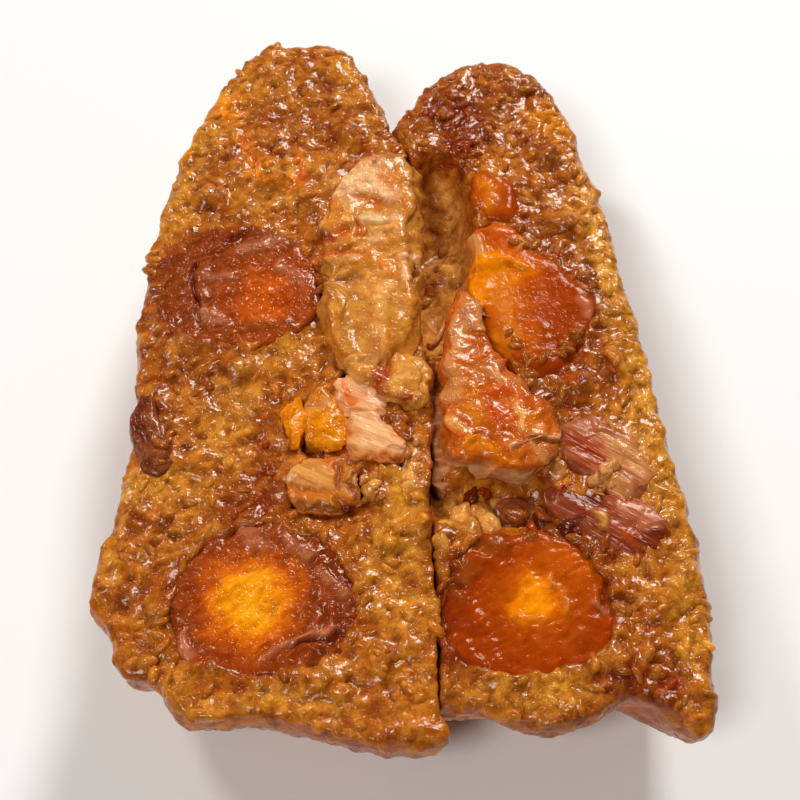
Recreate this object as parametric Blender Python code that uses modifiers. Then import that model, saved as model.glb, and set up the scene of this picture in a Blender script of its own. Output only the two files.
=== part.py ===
"""An unwrapped zongzi, the glutinous rice dumpling, cut lengthwise and opened like a book.

The two halves lie side by side with their cut faces up. Each half is a boat of
sticky rice, and the pieces of its filling sit in it as separate solids: halved
salted yolks, pork with skin and fat, lean pork, mushroom and small scraps.

Metres, +Z up. +Y runs from the front of the dumpling to its narrow end, and the
origin is on the table under the middle of the whole.
"""

import math

import bmesh
import bpy
import numpy as np
from mathutils import Matrix, Vector

MM = 0.001

# Driving dimensions, in metres.
CUT_HEIGHT = 0.027  # cut faces above the table
KEEL_WIDTH_SHARE = 0.38  # flat underside over rim, across
KEEL_LENGTH_SHARE = 0.64  # flat underside over rim, along
SIDE_ROUNDNESS = 2.1  # exponent of the hull's section, 2 is an ellipse
END_ROUNDNESS = 1.6
TABLE_TRIM = 0.0006  # how deep the underside is pressed flat
GAP = 0.0004  # play between a filling and its pocket
SEAM_GAP = 0.00035  # play between the two halves
GRAIN_LENGTH = 0.0054
GRAIN_WIDTH = 0.0028
GRAIN_HEIGHT = 0.0026
GRAIN_SPACING = 0.0030
GRAIN_PROUD = 0.0007  # grain tops above the core
CORE_INSET = 0.0007  # core's cut face under the dumpling's
RIM_INSET = 0.0001
VOXEL = 0.0012
HALF_TRIANGLES = 2900

# Outlines of the two cut faces, seen from above, in millimetres.
LEFT_RIM = (
    (8.6, -74.8), (8.2, -70.0), (7.2, -64.0), (7.2, -51.5), (7.0, -36.6), (7.2, -12.5), (5.8, 8.0),
    (5.4, 30.0), (3.8, 44.0), (-1.2, 51.6), (-2.8, 56.6), (-5.8, 64.6), (-9.8, 71.0),
    (-14.2, 74.4), (-20.0, 75.0), (-27.3, 73.0), (-33.4, 65.6), (-37.1, 57.5), (-40.1, 49.4),
    (-42.9, 37.8), (-45.3, 26.8), (-46.2, 12.7), (-46.9, 2.6), (-46.0, -10.4), (-46.2, -19.7),
    (-46.7, -26.8), (-47.8, -36.6), (-49.6, -42.3), (-50.5, -49.8), (-49.0, -53.6), (-45.8, -57.8),
    (-45.0, -62.8), (-42.6, -65.0), (-39.4, -64.4), (-37.6, -66.6), (-35.4, -71.0), (-31.0, -72.6),
    (-24.3, -72.0), (-15.5, -73.4), (-9.0, -75.2), (-2.7, -76.2), (3.7, -76.6),
)
RIGHT_RIM = (
    (5.2, -69.0), (11.0, -69.4), (17.0, -71.8), (23.0, -73.6), (28.0, -72.8), (31.7, -70.8),
    (35.5, -68.0), (38.5, -67.9), (42.4, -70.0), (46.4, -73.4), (49.0, -73.4), (50.0, -69.5),
    (50.2, -62.2), (50.4, -48.8), (49.9, -40.4), (49.1, -35.6), (47.6, -28.8), (46.4, -19.7),
    (45.0, -9.3), (43.5, 2.6), (41.4, 12.7), (39.6, 26.8), (37.2, 37.8), (34.3, 49.2),
    (31.9, 57.4), (27.9, 64.8), (21.8, 69.5), (15.2, 69.8), (8.0, 65.6), (3.2, 59.4), (0.8, 54.4),
    (-1.8, 52.4), (-2.6, 48.0), (-0.5, 40.0), (1.6, 30.0), (2.2, 8.0), (3.2, -12.5), (3.0, -36.6),
    (3.4, -51.5), (4.0, -62.0),
)
LEFT_CENTRE = (-21.0, -2.0)
RIGHT_CENTRE = (25.0, -6.0)
SEAM_SLANT = 0.16  # the left half leans over the right one by this slope
SEAM = (
    (9.0, -90.0), (8.7, -73.4), (6.9, -70.2), (6.3, -50.0), (5.8, -30.0), (6.0, -12.0),
    (4.6, 8.0), (4.2, 35.0), (1.5, 47.0), (-1.4, 52.1), (-3.0, 90.0),
)

# Hollows torn in the rice: centre and half sizes of an ellipsoid, in millimetres.
LEFT_SCOOPS = (
    ((-13.0, -18.0, 30.5), (9.0, 9.0, 6.5)),
    ((-14.5, 10.0, 30.5), (4.5, 20.0, 6.0)),
    ((-22.0, -52.0, 33.5), (19.0, 17.0, 8.0)),
)
RIGHT_SCOOPS = (
    ((7.5, 21.0, 27.5), (7.0, 25.0, 14.0)),
    ((6.5, -19.0, 27.5), (4.0, 18.0, 11.0)),
    ((16.5, -32.5, 28.5), (12.0, 7.5, 10.0)),
    ((20.0, -52.0, 34.0), (18.0, 17.0, 8.0)),
)

# Plump grains that stand out of the torn rice: centre and length, in millimetres.
LEFT_PLUMP = (
    ((3.0, -31.0, 27.0), 6.0), ((4.0, -37.5, 27.2), 6.4), ((-1.5, -41.0, 27.2), 5.8),
    ((-17.0, 33.0, 27.0), 6.6), ((-24.0, 37.0, 27.4), 6.2), ((-29.0, -6.0, 27.2), 6.2),
    ((-10.0, 49.0, 27.4), 6.4), ((-36.0, 34.0, 27.2), 6.0), ((-38.0, -54.0, 27.2), 6.2),
    ((-3.0, -63.0, 27.2), 6.2), ((-13.0, -66.5, 27.2), 6.0),
)
RIGHT_PLUMP = (
    ((12.6, -31.0, 20.6), 8.0), ((13.8, -35.4, 21.4), 7.4), ((9.6, -35.6, 21.8), 6.6),
    ((10.6, -39.6, 24.2), 6.4), ((17.0, -37.6, 22.4), 7.0), ((9.0, -31.0, 20.6), 6.4),
    ((28.5, 44.0, 27.2), 6.4), ((31.5, 27.0, 27.2), 6.2), ((38.0, -5.0, 27.2), 6.4),
    ((31.5, -10.0, 27.4), 6.6), ((43.0, -52.0, 27.2), 6.2), ((35.0, -62.0, 27.0), 6.2),
    ((12.0, 46.0, 26.0), 6.6), ((9.0, 24.0, 16.0), 7.0),
)


def clear_scene():
    for obj in list(bpy.data.objects):
        bpy.data.objects.remove(obj)


def collection(name, drawn=True):
    """A collection under the scene's own. Cutters go in one that isn't drawn."""
    made = bpy.data.collections.new(name)
    bpy.context.scene.collection.children.link(made)
    made.hide_render = not drawn
    return made


def finish(name, colour, roughness):
    """A plain Principled finish in one colour, red, green and blue from 0 to 1."""
    made = bpy.data.materials.new(name)
    made.use_nodes = True
    shader = made.node_tree.nodes["Principled BSDF"]
    shader.inputs["Base Color"].default_value = (*colour, 1.0)
    shader.inputs["Roughness"].default_value = roughness
    shader.inputs["Metallic"].default_value = 0.0
    return made


def object_from(bm, name, group, material=None):
    bmesh.ops.recalc_face_normals(bm, faces=bm.faces)
    mesh = bpy.data.meshes.new(name)
    bm.to_mesh(mesh)
    bm.free()
    obj = bpy.data.objects.new(name, mesh)
    group.objects.link(obj)
    if material:
        mesh.materials.append(material)
    else:
        obj.hide_render = True
        obj.display_type = "WIRE"
    return obj


def apply_modifiers(obj):
    """Replaces the object's mesh with what its modifiers make of it."""
    graph = bpy.context.evaluated_depsgraph_get()
    graph.update()
    made = bpy.data.meshes.new_from_object(obj.evaluated_get(graph))
    old = obj.data
    obj.modifiers.clear()
    obj.data = made
    bpy.data.meshes.remove(old)
    made.name = obj.name


def keep_largest_body(obj):
    """Drops the loose scraps that a cut leaves."""
    bm = bmesh.new()
    bm.from_mesh(obj.data)
    bmesh.ops.remove_doubles(bm, verts=bm.verts, dist=0.00001)
    left, bodies = set(bm.verts), []
    while left:
        body, edge = set(), [left.pop()]
        while edge:
            vert = edge.pop()
            body.add(vert)
            for link in vert.link_edges:
                other = link.other_vert(vert)
                if other in left:
                    left.remove(other)
                    edge.append(other)
        bodies.append(body)
    bodies.sort(key=len)
    for body in bodies[:-1]:
        bmesh.ops.delete(bm, geom=list(body), context="VERTS")
    bmesh.ops.triangulate(bm, faces=bm.faces)
    bm.to_mesh(obj.data)
    bm.free()


def smooth_outline(points, count):
    """A closed curve through the points, in metres, cut into count even steps."""
    knots = np.array(points) * MM
    before, after, beyond = (np.roll(knots, shift, axis=0) for shift in (1, -1, -2))
    curve = []
    for t in np.linspace(0.0, 1.0, 12, endpoint=False):
        curve.append(
            0.5
            * (
                2 * knots
                + (after - before) * t
                + (2 * before - 5 * knots + 4 * after - beyond) * t**2
                + (3 * knots - before - 3 * after + beyond) * t**3
            )
        )
    dense = np.stack(curve, axis=1).reshape(-1, 2)
    dense = np.vstack([dense, dense[:1]])
    steps = np.linalg.norm(np.diff(dense, axis=0), axis=1)
    run = np.concatenate([[0.0], np.cumsum(steps)])
    at = np.linspace(0.0, run[-1], count, endpoint=False)
    return np.stack([np.interp(at, run, dense[:, k]) for k in (0, 1)], axis=1)


def loft(bm, rings):
    """Joins rings of equal count with quads and closes both ends."""
    loops = [[bm.verts.new(co) for co in ring] for ring in rings]
    for upper, lower in zip(loops, loops[1:]):
        for i in range(len(upper)):
            j = (i + 1) % len(upper)
            bm.faces.new((upper[i], upper[j], lower[j], lower[i]))
    bm.faces.new(loops[0])
    bm.faces.new(list(reversed(loops[-1])))


def boat(name, rim_points, centre, group, rings=10, count=150):
    """Half of the dumpling: a level cut face over a hull that rounds in to a flat keel."""
    rim = smooth_outline(rim_points, count)
    middle = np.array(centre) * MM
    reach = rim - middle
    keel = middle + reach * (KEEL_WIDTH_SHARE, KEEL_LENGTH_SHARE)
    inward = reach / np.linalg.norm(reach, axis=1)[:, None]
    along = np.abs(reach[:, 1]) / np.hypot(reach[:, 0] * 2.6, reach[:, 1])
    power = SIDE_ROUNDNESS + (END_ROUNDNESS - SIDE_ROUNDNESS) * along**3
    top, bottom = CUT_HEIGHT - CORE_INSET, -TABLE_TRIM
    made = []
    for depth in np.linspace(0.0, 1.0, rings):
        out = ((1 - depth**power) ** (1 / power))[:, None]
        ring = keel + (rim - inward * RIM_INSET - keel) * out
        made.append([(x, y, top + (bottom - top) * depth) for x, y in ring])
    bm = bmesh.new()
    loft(bm, made)
    return object_from(bm, name, group)


def ellipsoid(name, centre, half, group):
    """A scoop's cutter. Centre and half sizes in millimetres."""
    bm = bmesh.new()
    place = Matrix.Translation(Vector(centre) * MM) @ Matrix.Diagonal((*(Vector(half) * MM), 1.0))
    bmesh.ops.create_icosphere(bm, subdivisions=3, radius=1.0, matrix=place)
    return object_from(bm, name, group)


def cut_with(obj, cutters):
    for cutter in cutters:
        cut = obj.modifiers.new(cutter.name, "BOOLEAN")
        cut.operation = "DIFFERENCE"
        cut.solver = "MANIFOLD"
        cut.object = cutter
    apply_modifiers(obj)


def remesh(obj, size):
    grid = obj.modifiers.new("even_grid", "REMESH")
    grid.mode = "VOXEL"
    grid.voxel_size = size
    apply_modifiers(obj)


def grain_sites(mesh, spacing, rng):
    """Points and normals spread at random over the faces, none nearer than the spacing."""
    mesh.calc_loop_triangles()
    corners = np.array([[mesh.vertices[i].co for i in t.vertices] for t in mesh.loop_triangles])
    normal = np.cross(corners[:, 1] - corners[:, 0], corners[:, 2] - corners[:, 0])
    area = np.linalg.norm(normal, axis=1)
    normal /= np.maximum(area, 1e-12)[:, None]
    tries = int(area.sum() / 2 / spacing**2 * 6)
    face = rng.choice(len(area), tries, p=area / area.sum())
    a, b = rng.random((2, tries, 1))
    a, b = np.where(a + b > 1, 1 - a, a), np.where(a + b > 1, 1 - b, b)
    corner = corners[face]
    points = corner[:, 0] + a * (corner[:, 1] - corner[:, 0]) + b * (corner[:, 2] - corner[:, 0])
    cells, kept = {}, []
    for k, point in enumerate(points):
        cell = tuple((point // spacing).astype(int))
        near = (
            cells.get((cell[0] + i, cell[1] + j, cell[2] + m), ())
            for i in (-1, 0, 1)
            for j in (-1, 0, 1)
            for m in (-1, 0, 1)
        )
        if all(np.linalg.norm(point - other) > spacing for found in near for other in found):
            cells.setdefault(cell, []).append(point)
            kept.append(k)
    return points[kept], normal[face[kept]]


def place_of(centre, half, lie):
    """The matrix that turns a unit bead to a rice grain. Lie is a 4x4 turn."""
    return Matrix.Translation(centre) @ lie @ Matrix.Diagonal((*half, 1.0))


def press_grains_on(obj, plump, rng):
    """Covers the core with rice grains half sunk in it, and sets the plump ones, in one mesh."""
    half = Vector((GRAIN_LENGTH, GRAIN_WIDTH, GRAIN_HEIGHT)) / 2
    places = []
    for point, normal in zip(*grain_sites(obj.data, GRAIN_SPACING, rng)):
        upright = Vector((0, 0, 1)).rotation_difference(Vector(normal)).to_matrix().to_4x4()
        turn = Matrix.Rotation(rng.uniform(0, math.tau), 4, "Z")
        tip = Matrix.Rotation(rng.uniform(-0.3, 0.3), 4, "Y")
        sunk = GRAIN_PROUD * rng.uniform(0.6, 1.4) - half.z
        centre = Vector(point) + Vector(normal) * sunk
        places.append(place_of(centre, half * rng.uniform(0.9, 1.15), upright @ turn @ tip))
    for centre, length in plump:
        turn = Matrix.Rotation(rng.uniform(0, math.tau), 4, "Z")
        shape = Vector((1.0, 0.62, 0.55)) * length / 2 * MM
        places.append(place_of(Vector(centre) * MM, shape, turn))
    bead = bmesh.new()
    bmesh.ops.create_icosphere(bead, subdivisions=2, radius=1.0)
    corners = np.array([(*v.co, 1.0) for v in bead.verts])
    faces = np.array([[v.index for v in f.verts] for f in bead.faces])
    bead.free()
    beads = np.einsum("nij,vj->nvi", np.array(places), corners)[..., :3].reshape(-1, 3)
    joined = (faces[None] + np.arange(len(places))[:, None, None] * len(corners)).reshape(-1, 3)
    heap = bpy.data.meshes.new("grains")
    heap.from_pydata(beads.tolist(), [], joined.tolist())
    bm = bmesh.new()
    bm.from_mesh(obj.data)
    bm.from_mesh(heap)
    bm.to_mesh(obj.data)
    bm.free()
    bpy.data.meshes.remove(heap)


def thin_out(obj, triangles):
    """Fewer faces, with most of them kept on the cut face and the rim."""
    group = obj.vertex_groups.new(name="underside")
    floor = CUT_HEIGHT * 0.6
    under = [v.index for v in obj.data.vertices if v.co.z < floor]
    rest = [v.index for v in obj.data.vertices if v.co.z >= floor]
    group.add(under, 1.0, "REPLACE")
    group.add(rest, 0.35, "REPLACE")
    fewer = obj.modifiers.new("fewer_faces", "DECIMATE")
    fewer.vertex_group = group.name
    fewer.vertex_group_factor = 1.0
    fewer.ratio = triangles / (2 * len(obj.data.polygons))
    apply_modifiers(obj)


def side_guard(name, side, group):
    """A block that fills everything past the seam, to trim the half on the other side."""
    line = [(x - side * SEAM_GAP / MM / 2, y) for x, y in SEAM]
    outline = line + [(90.0 * side, SEAM[-1][1]), (90.0 * side, SEAM[0][1])]
    rings = []
    for height in (0.06, -0.01):
        lean = (height - CUT_HEIGHT) * SEAM_SLANT
        rings.append([(x * MM + lean, y * MM, height) for x, y in outline])
    bm = bmesh.new()
    loft(bm, rings)
    return object_from(bm, name, group)


def table_block(group):
    bm = bmesh.new()
    place = Matrix.Translation((0, 0, -0.02)) @ Matrix.Diagonal((0.3, 0.4, 0.04, 1.0))
    bmesh.ops.create_cube(bm, size=1.0, matrix=place)
    return object_from(bm, "table_block", group)


def yolk(name, centre, size, depth, top, group, material):
    """Half a yolk, cut face up. It is a little angular, as its neighbours pressed on it."""
    bm = bmesh.new()
    bmesh.ops.create_uvsphere(bm, u_segments=24, v_segments=12, radius=1.0)
    everything = bm.verts[:] + bm.edges[:] + bm.faces[:]
    bmesh.ops.bisect_plane(
        bm, geom=everything, plane_co=(0, 0, 0), plane_no=(0, 0, 1), clear_outer=True
    )
    rim = [e for e in bm.edges if e.is_boundary]
    bmesh.ops.contextual_create(bm, geom=rim)
    for vert in bm.verts:
        angle = math.atan2(vert.co.y, vert.co.x)
        press = 0.035 * math.sin(3 * angle + centre[0]) + 0.03 * math.sin(4 * angle + centre[1])
        vert.co.x = (centre[0] + vert.co.x * size[0] / 2 * (1 + press)) * MM
        vert.co.y = (centre[1] + vert.co.y * size[1] / 2 * (1 + press)) * MM
        vert.co.z = (top + vert.co.z * depth) * MM
    cut_face = max(bm.faces, key=lambda face: face.calc_center_median().z)
    bmesh.ops.inset_region(bm, faces=[cut_face], thickness=3.0 * MM)
    bmesh.ops.poke(bm, faces=[cut_face], offset=0.3 * MM)
    return object_from(bm, name, group, material)


def morsel(name, outline, top, depth, group, material, dome=0.8, rounding=1.6, taper=0.8, count=16):
    """A cut piece of food: its outline in millimetres, from its top face down. The face is domed."""
    ring = smooth_outline(outline, count)
    middle = ring.mean(axis=0)
    reach = ring - middle
    inward = reach / np.linalg.norm(reach, axis=1)[:, None] * MM
    rings = []
    for inset, down, share in (
        (rounding, 0.0, 1.0),
        (rounding * 0.3, rounding * 0.35, 1.0),
        (0.0, rounding, 1.0),
        (0.0, depth * 0.55, (1 + taper) / 2),
        (0.0, depth * 0.9, taper),
        (0.0, depth, taper * 0.7),
    ):
        flat = middle + (reach - inward * inset) * share
        rings.append([(x, y, (top - down) * MM) for x, y in flat])
    bm = bmesh.new()
    loft(bm, rings)
    cap = max(bm.faces, key=lambda face: face.calc_center_median().z)
    bmesh.ops.inset_region(bm, faces=[cap], thickness=1.6 * MM)
    bmesh.ops.translate(bm, verts=cap.verts, vec=(0, 0, dome * 0.7 * MM))
    bmesh.ops.poke(bm, faces=[cap], offset=dome * 0.3 * MM)
    return object_from(bm, name, group, material)


def pocket_of(piece, group):
    """The hollow that a filling lies in: its hull swelled by the gap, and open above it."""
    bm = bmesh.new()
    bm.from_mesh(piece.data)
    bmesh.ops.recalc_face_normals(bm, faces=bm.faces)
    centre = sum((v.co for v in bm.verts), Vector()) / len(bm.verts)
    for vert in bm.verts:
        vert.co += vert.normal * GAP + (vert.co - centre).normalized() * GAP * 0.3
    raised = bmesh.ops.duplicate(bm, geom=bm.verts[:])["geom"]
    raised = [found for found in raised if isinstance(found, bmesh.types.BMVert)]
    bmesh.ops.translate(bm, verts=raised, vec=(0, 0, 0.012))
    hull = bmesh.ops.convex_hull(bm, input=bm.verts)
    loose = set(hull["geom_interior"]) | set(hull["geom_unused"])
    loose = [found for found in loose if isinstance(found, bmesh.types.BMVert)]
    bmesh.ops.delete(bm, geom=loose, context="VERTS")
    outer = set(hull["geom"])
    bmesh.ops.delete(bm, geom=[f for f in bm.faces if f not in outer], context="FACES_ONLY")
    return object_from(bm, "pocket_" + piece.name, group)


def rice_half(name, shape, seed, pockets, table, group, cutters, material):
    """One half's rice: the boat, its torn hollows, its grains, and the pockets of its filling."""
    rim, centre, scoops, plump, side = shape
    half = boat(name, rim, centre, group)
    torn = [ellipsoid(f"{name}_scoop_{k}", *scoop, cutters) for k, scoop in enumerate(scoops)]
    cut_with(half, torn)
    remesh(half, VOXEL)
    press_grains_on(half, plump, np.random.default_rng(seed))
    remesh(half, VOXEL)
    thin_out(half, HALF_TRIANGLES)
    guard = side_guard(f"{name}_guard", side, cutters)
    cut_with(half, [table, guard, *pockets])
    keep_largest_body(half)
    half.data.materials.clear()
    half.data.materials.append(material)
    half.hide_render = False
    half.display_type = "TEXTURED"


def centre_on_origin(group):
    """Moves every mesh so that the whole's box stands on z = 0 with its middle on the axis."""
    points = np.array([v.co for obj in group.objects for v in obj.data.vertices])
    low, high = points.min(axis=0), points.max(axis=0)
    shift = Matrix.Translation((-(low[0] + high[0]) / 2, -(low[1] + high[1]) / 2, -low[2]))
    for obj in group.objects:
        obj.data.transform(shift)


def main():
    clear_scene()
    group = collection("zongzi")
    cutters = collection("cutters", drawn=False)
    rice = finish("sticky_rice", (0.45, 0.19, 0.045), 0.35)
    orange = finish("salted_yolk", (0.55, 0.16, 0.02), 0.4)
    fat = finish("pork_fat", (0.66, 0.34, 0.12), 0.3)
    lean = finish("lean_pork", (0.5, 0.22, 0.11), 0.45)
    dark = finish("mushroom", (0.16, 0.05, 0.03), 0.4)

    left = [
        yolk("yolk_left_front", (-21.8, -51.4), (31.0, 27.4), 13.0, 26.2, group, orange),
        yolk("yolk_left_back", (-28.9, 11.8), (28.4, 27.0), 12.5, 26.6, group, orange),
        morsel(
            "pork_skin_left",
            (
                (-15.2, 22.5), (-12.8, 30.5), (-8.2, 39.8), (-3.6, 43.2), (0.8, 42.2), (2.8, 38.0),
                (3.3, 27.0), (3.4, 15.0), (3.0, 7.0), (1.6, -0.6), (-3.5, -2.6), (-10.4, -1.8),
                (-12.6, 4.0), (-13.6, 10.7), (-14.8, 16.5),
            ),
            29.6, 13.0, group, fat, dome=1.6, rounding=2.4, taper=0.75, count=26,
        ),
        morsel(
            "pork_fat_left",
            (
                (-10.4, -4.0), (-3.5, -4.6), (1.8, -3.4), (4.0, -7.4), (4.2, -12.6), (2.6, -15.4),
                (-0.7, -14.2), (-4.0, -11.4), (-7.4, -8.8),
            ),
            28.6, 10.0, group, fat, dome=1.2, rounding=2.0,
        ),
        morsel(
            "lean_left_back",
            ((-10.8, -9.8), (-7.9, -10.8), (-4.6, -13.4), (-3.0, -15.6), (-7.6, -15.8), (-9.8, -13.2)),
            28.2, 7.0, group, lean, rounding=1.0, count=14,
        ),
        morsel(
            "lean_left_middle",
            ((-7.8, -17.2), (-2.6, -17.0), (1.2, -22.3), (0.9, -26.2), (-6.0, -24.6), (-8.8, -20.4)),
            28.4, 8.0, group, lean, rounding=1.2,
        ),
        morsel(
            "lean_left_front",
            (
                (-18.4, -29.2), (-16.6, -26.0), (-10.6, -25.8), (-5.2, -28.2), (-4.4, -33.0),
                (-11.7, -35.8), (-18.0, -34.8),
            ),
            28.4, 8.0, group, lean, rounding=1.2,
        ),
        morsel(
            "yolk_crumb_left",
            ((-20.2, -15.5), (-17.6, -13.1), (-17.0, -16.4), (-17.0, -21.0), (-18.0, -23.2), (-19.2, -20.0)),
            28.8, 6.0, group, orange, rounding=0.9, count=12,
        ),
        morsel(
            "yolk_crumb_middle",
            ((-15.6, -12.0), (-12.4, -12.0), (-11.4, -15.8), (-10.2, -19.8), (-11.2, -23.2), (-14.0, -22.6)),
            28.4, 6.0, group, orange, rounding=1.0, count=12,
        ),
        morsel(
            "mushroom_left",
            (
                (-45.8, -14.8), (-44.3, -12.1), (-42.5, -13.2), (-40.3, -18.3), (-38.9, -23.4),
                (-40.1, -27.0), (-42.0, -27.2), (-44.9, -21.4),
            ),
            28.0, 11.0, group, dark, rounding=1.4, count=14,
        ),
    ]
    right = [
        yolk("yolk_right_front", (20.9, -52.1), (28.6, 26.8), 12.5, 25.8, group, orange),
        morsel(
            "yolk_right_back",
            (
                (14.3, 25.8), (19.5, 26.4), (25.0, 19.8), (31.0, 15.4), (35.0, 10.5), (34.4, 3.6),
                (32.0, -3.0), (27.6, -6.6), (22.8, -6.6), (19.0, -2.2), (16.4, 1.6), (15.2, 7.6),
                (14.3, 14.0),
            ),
            27.2, 11.0, group, orange, dome=1.0, rounding=1.4, count=24,
        ),
        morsel(
            "yolk_scrap_right",
            ((15.0, 38.0), (18.4, 38.6), (21.6, 34.4), (21.4, 29.4), (17.4, 28.6), (15.0, 31.5)),
            27.4, 6.0, group, orange, rounding=1.0, count=12,
        ),
        morsel(
            "pork_belly_right",
            (
                (11.8, 10.2), (13.2, 6.4), (14.4, -0.6), (17.4, -5.2), (21.2, -10.2), (25.8, -17.6),
                (26.0, -22.6), (22.4, -27.2), (15.2, -25.8), (9.8, -24.4), (8.7, -21.6), (8.7, -13.0),
                (8.8, -5.0), (9.6, 3.4),
            ),
            30.0, 15.0, group, fat, dome=1.0, rounding=1.8, taper=0.9, count=24,
        ),
        morsel(
            "lean_groove_right",
            ((6.8, -9.0), (8.0, -9.4), (7.9, -18.0), (8.0, -27.6), (7.2, -29.6), (6.5, -26.0), (6.4, -15.0)),
            24.0, 9.0, group, lean, dome=0.2, rounding=0.3, taper=0.95, count=14,
        ),
        morsel(
            "lean_right_back",
            (
                (28.8, -17.7), (33.3, -15.7), (36.9, -18.3), (40.0, -22.4), (41.7, -27.2),
                (40.0, -29.6), (35.0, -29.8), (30.2, -27.6), (28.2, -23.0),
            ),
            27.9, 9.0, group, lean, rounding=1.4,
        ),
        morsel(
            "lean_right_front",
            (
                (26.8, -32.0), (31.4, -31.2), (35.7, -32.4), (40.5, -34.6), (44.0, -37.6),
                (44.2, -40.8), (39.8, -43.2), (35.2, -42.4), (30.6, -39.0), (27.6, -35.4),
            ),
            27.8, 9.0, group, lean, rounding=1.4, count=18,
        ),
        morsel(
            "mushroom_bit_right",
            ((24.6, -33.0), (26.0, -35.0), (27.4, -38.0), (25.4, -38.4), (24.2, -36.2)),
            25.2, 5.0, group, dark, rounding=0.8, count=10,
        ),
        morsel(
            "shrimp_right",
            ((18.4, -31.4), (21.4, -31.0), (23.4, -33.2), (23.0, -36.6), (20.6, -37.0), (18.6, -34.8)),
            23.6, 6.0, group, lean, rounding=1.0, count=12,
        ),
    ]
    table = table_block(cutters)
    pockets = [pocket_of(piece, cutters) for piece in left + right]
    left_shape = (LEFT_RIM, LEFT_CENTRE, LEFT_SCOOPS, LEFT_PLUMP, 1)
    right_shape = (RIGHT_RIM, RIGHT_CENTRE, RIGHT_SCOOPS, RIGHT_PLUMP, -1)
    rice_half("rice_left", left_shape, 3, pockets, table, group, cutters, rice)
    rice_half("rice_right", right_shape, 8, pockets, table, group, cutters, rice)
    centre_on_origin(group)


main()
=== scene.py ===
"""How an unwrapped zongzi looks, cut lengthwise and opened like a book.

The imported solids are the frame. Each one gets a finer skin: wet glutinous rice
round salted yolks, braised pork, mushroom and scraps, in a soft studio light.
"""

import bmesh
import bpy
import numpy as np
from mathutils import Matrix, Vector, bvhtree, kdtree, noise


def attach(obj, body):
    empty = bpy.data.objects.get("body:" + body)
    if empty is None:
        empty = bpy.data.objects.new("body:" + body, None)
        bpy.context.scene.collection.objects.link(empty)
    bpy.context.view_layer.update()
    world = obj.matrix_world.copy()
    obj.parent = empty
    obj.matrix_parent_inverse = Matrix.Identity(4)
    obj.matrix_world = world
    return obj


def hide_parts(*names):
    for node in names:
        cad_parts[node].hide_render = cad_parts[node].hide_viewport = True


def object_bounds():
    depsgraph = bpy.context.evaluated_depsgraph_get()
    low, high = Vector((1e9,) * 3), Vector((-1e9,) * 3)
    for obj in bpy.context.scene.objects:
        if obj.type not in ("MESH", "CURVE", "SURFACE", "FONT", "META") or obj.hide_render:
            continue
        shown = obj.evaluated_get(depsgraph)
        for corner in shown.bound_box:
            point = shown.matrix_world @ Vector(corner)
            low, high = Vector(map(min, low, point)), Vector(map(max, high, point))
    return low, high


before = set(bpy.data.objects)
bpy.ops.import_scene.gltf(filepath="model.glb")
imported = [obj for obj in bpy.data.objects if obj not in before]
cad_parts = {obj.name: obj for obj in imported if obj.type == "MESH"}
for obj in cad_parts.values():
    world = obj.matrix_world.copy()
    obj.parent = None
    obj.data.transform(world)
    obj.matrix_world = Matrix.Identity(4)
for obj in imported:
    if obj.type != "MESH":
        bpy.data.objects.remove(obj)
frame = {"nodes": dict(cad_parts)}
cad_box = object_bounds()
scene = bpy.context.scene
MM = 0.001

# Table, light and camera
# A pale matt table under broad soft lamps, two behind for the wet glints and one in front.
# The camera stands at the photograph's place and looks down at 56 degrees.
scene.view_settings.view_transform = "Standard"


def placed(name, data):
    """A new object of the scene, with its mesh, lamp, camera or curve."""
    made = bpy.data.objects.new(name, data)
    scene.collection.objects.link(made)
    return made


table_form = bmesh.new()
bmesh.ops.create_grid(table_form, x_segments=8, y_segments=8, size=1.5)
table_mesh = bpy.data.meshes.new("table_top")
table_form.to_mesh(table_mesh)
table_form.free()
table_top = placed("table_top", table_mesh)
table_paint = bpy.data.materials.new("pale_table")
table_paint.use_nodes = True
table_nodes = table_paint.node_tree.nodes
table_shader = table_nodes["Principled BSDF"]
table_shader.inputs["Roughness"].default_value = 0.6
table_grain = table_nodes.new("ShaderNodeTexNoise")
table_grain.inputs["Scale"].default_value = 40.0
table_ramp = table_nodes.new("ShaderNodeValToRGB")
table_ramp.color_ramp.elements[0].color = (0.93, 0.93, 0.93, 1.0)
table_ramp.color_ramp.elements[1].color = (0.95, 0.95, 0.95, 1.0)
table_paint.node_tree.links.new(table_grain.outputs["Fac"], table_ramp.inputs["Fac"])
table_paint.node_tree.links.new(table_ramp.outputs["Color"], table_shader.inputs["Base Color"])
table_mesh.materials.append(table_paint)

room = bpy.data.worlds.new("studio")
room.use_nodes = True
room.node_tree.nodes["Background"].inputs["Color"].default_value = (1.0, 0.90, 0.74, 1.0)
room.node_tree.nodes["Background"].inputs["Strength"].default_value = 0.12
scene.world = room

MIDDLE = Vector((0.0, -0.0115, 0.027))
LAMPS = (
    ("lamp_back", (0.45, 1.30, 1.15), 0.50, 21.0),
    ("lamp_back_left", (-1.05, 0.75, 1.35), 0.34, 8.5),
    ("lamp_front", (-0.50, -0.90, 1.45), 0.50, 12.0),
)
for lamp_name, place, size, power in LAMPS:
    lamp = placed(lamp_name, bpy.data.lights.new(lamp_name, "AREA"))
    lamp.data.shape = "DISK"
    lamp.data.size = size
    lamp.data.energy = power
    lamp.data.color = (1.0, 0.985, 0.96)
    lamp.location = place
    lamp.rotation_euler = (MIDDLE - lamp.location).to_track_quat("-Z", "Y").to_euler()

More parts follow.
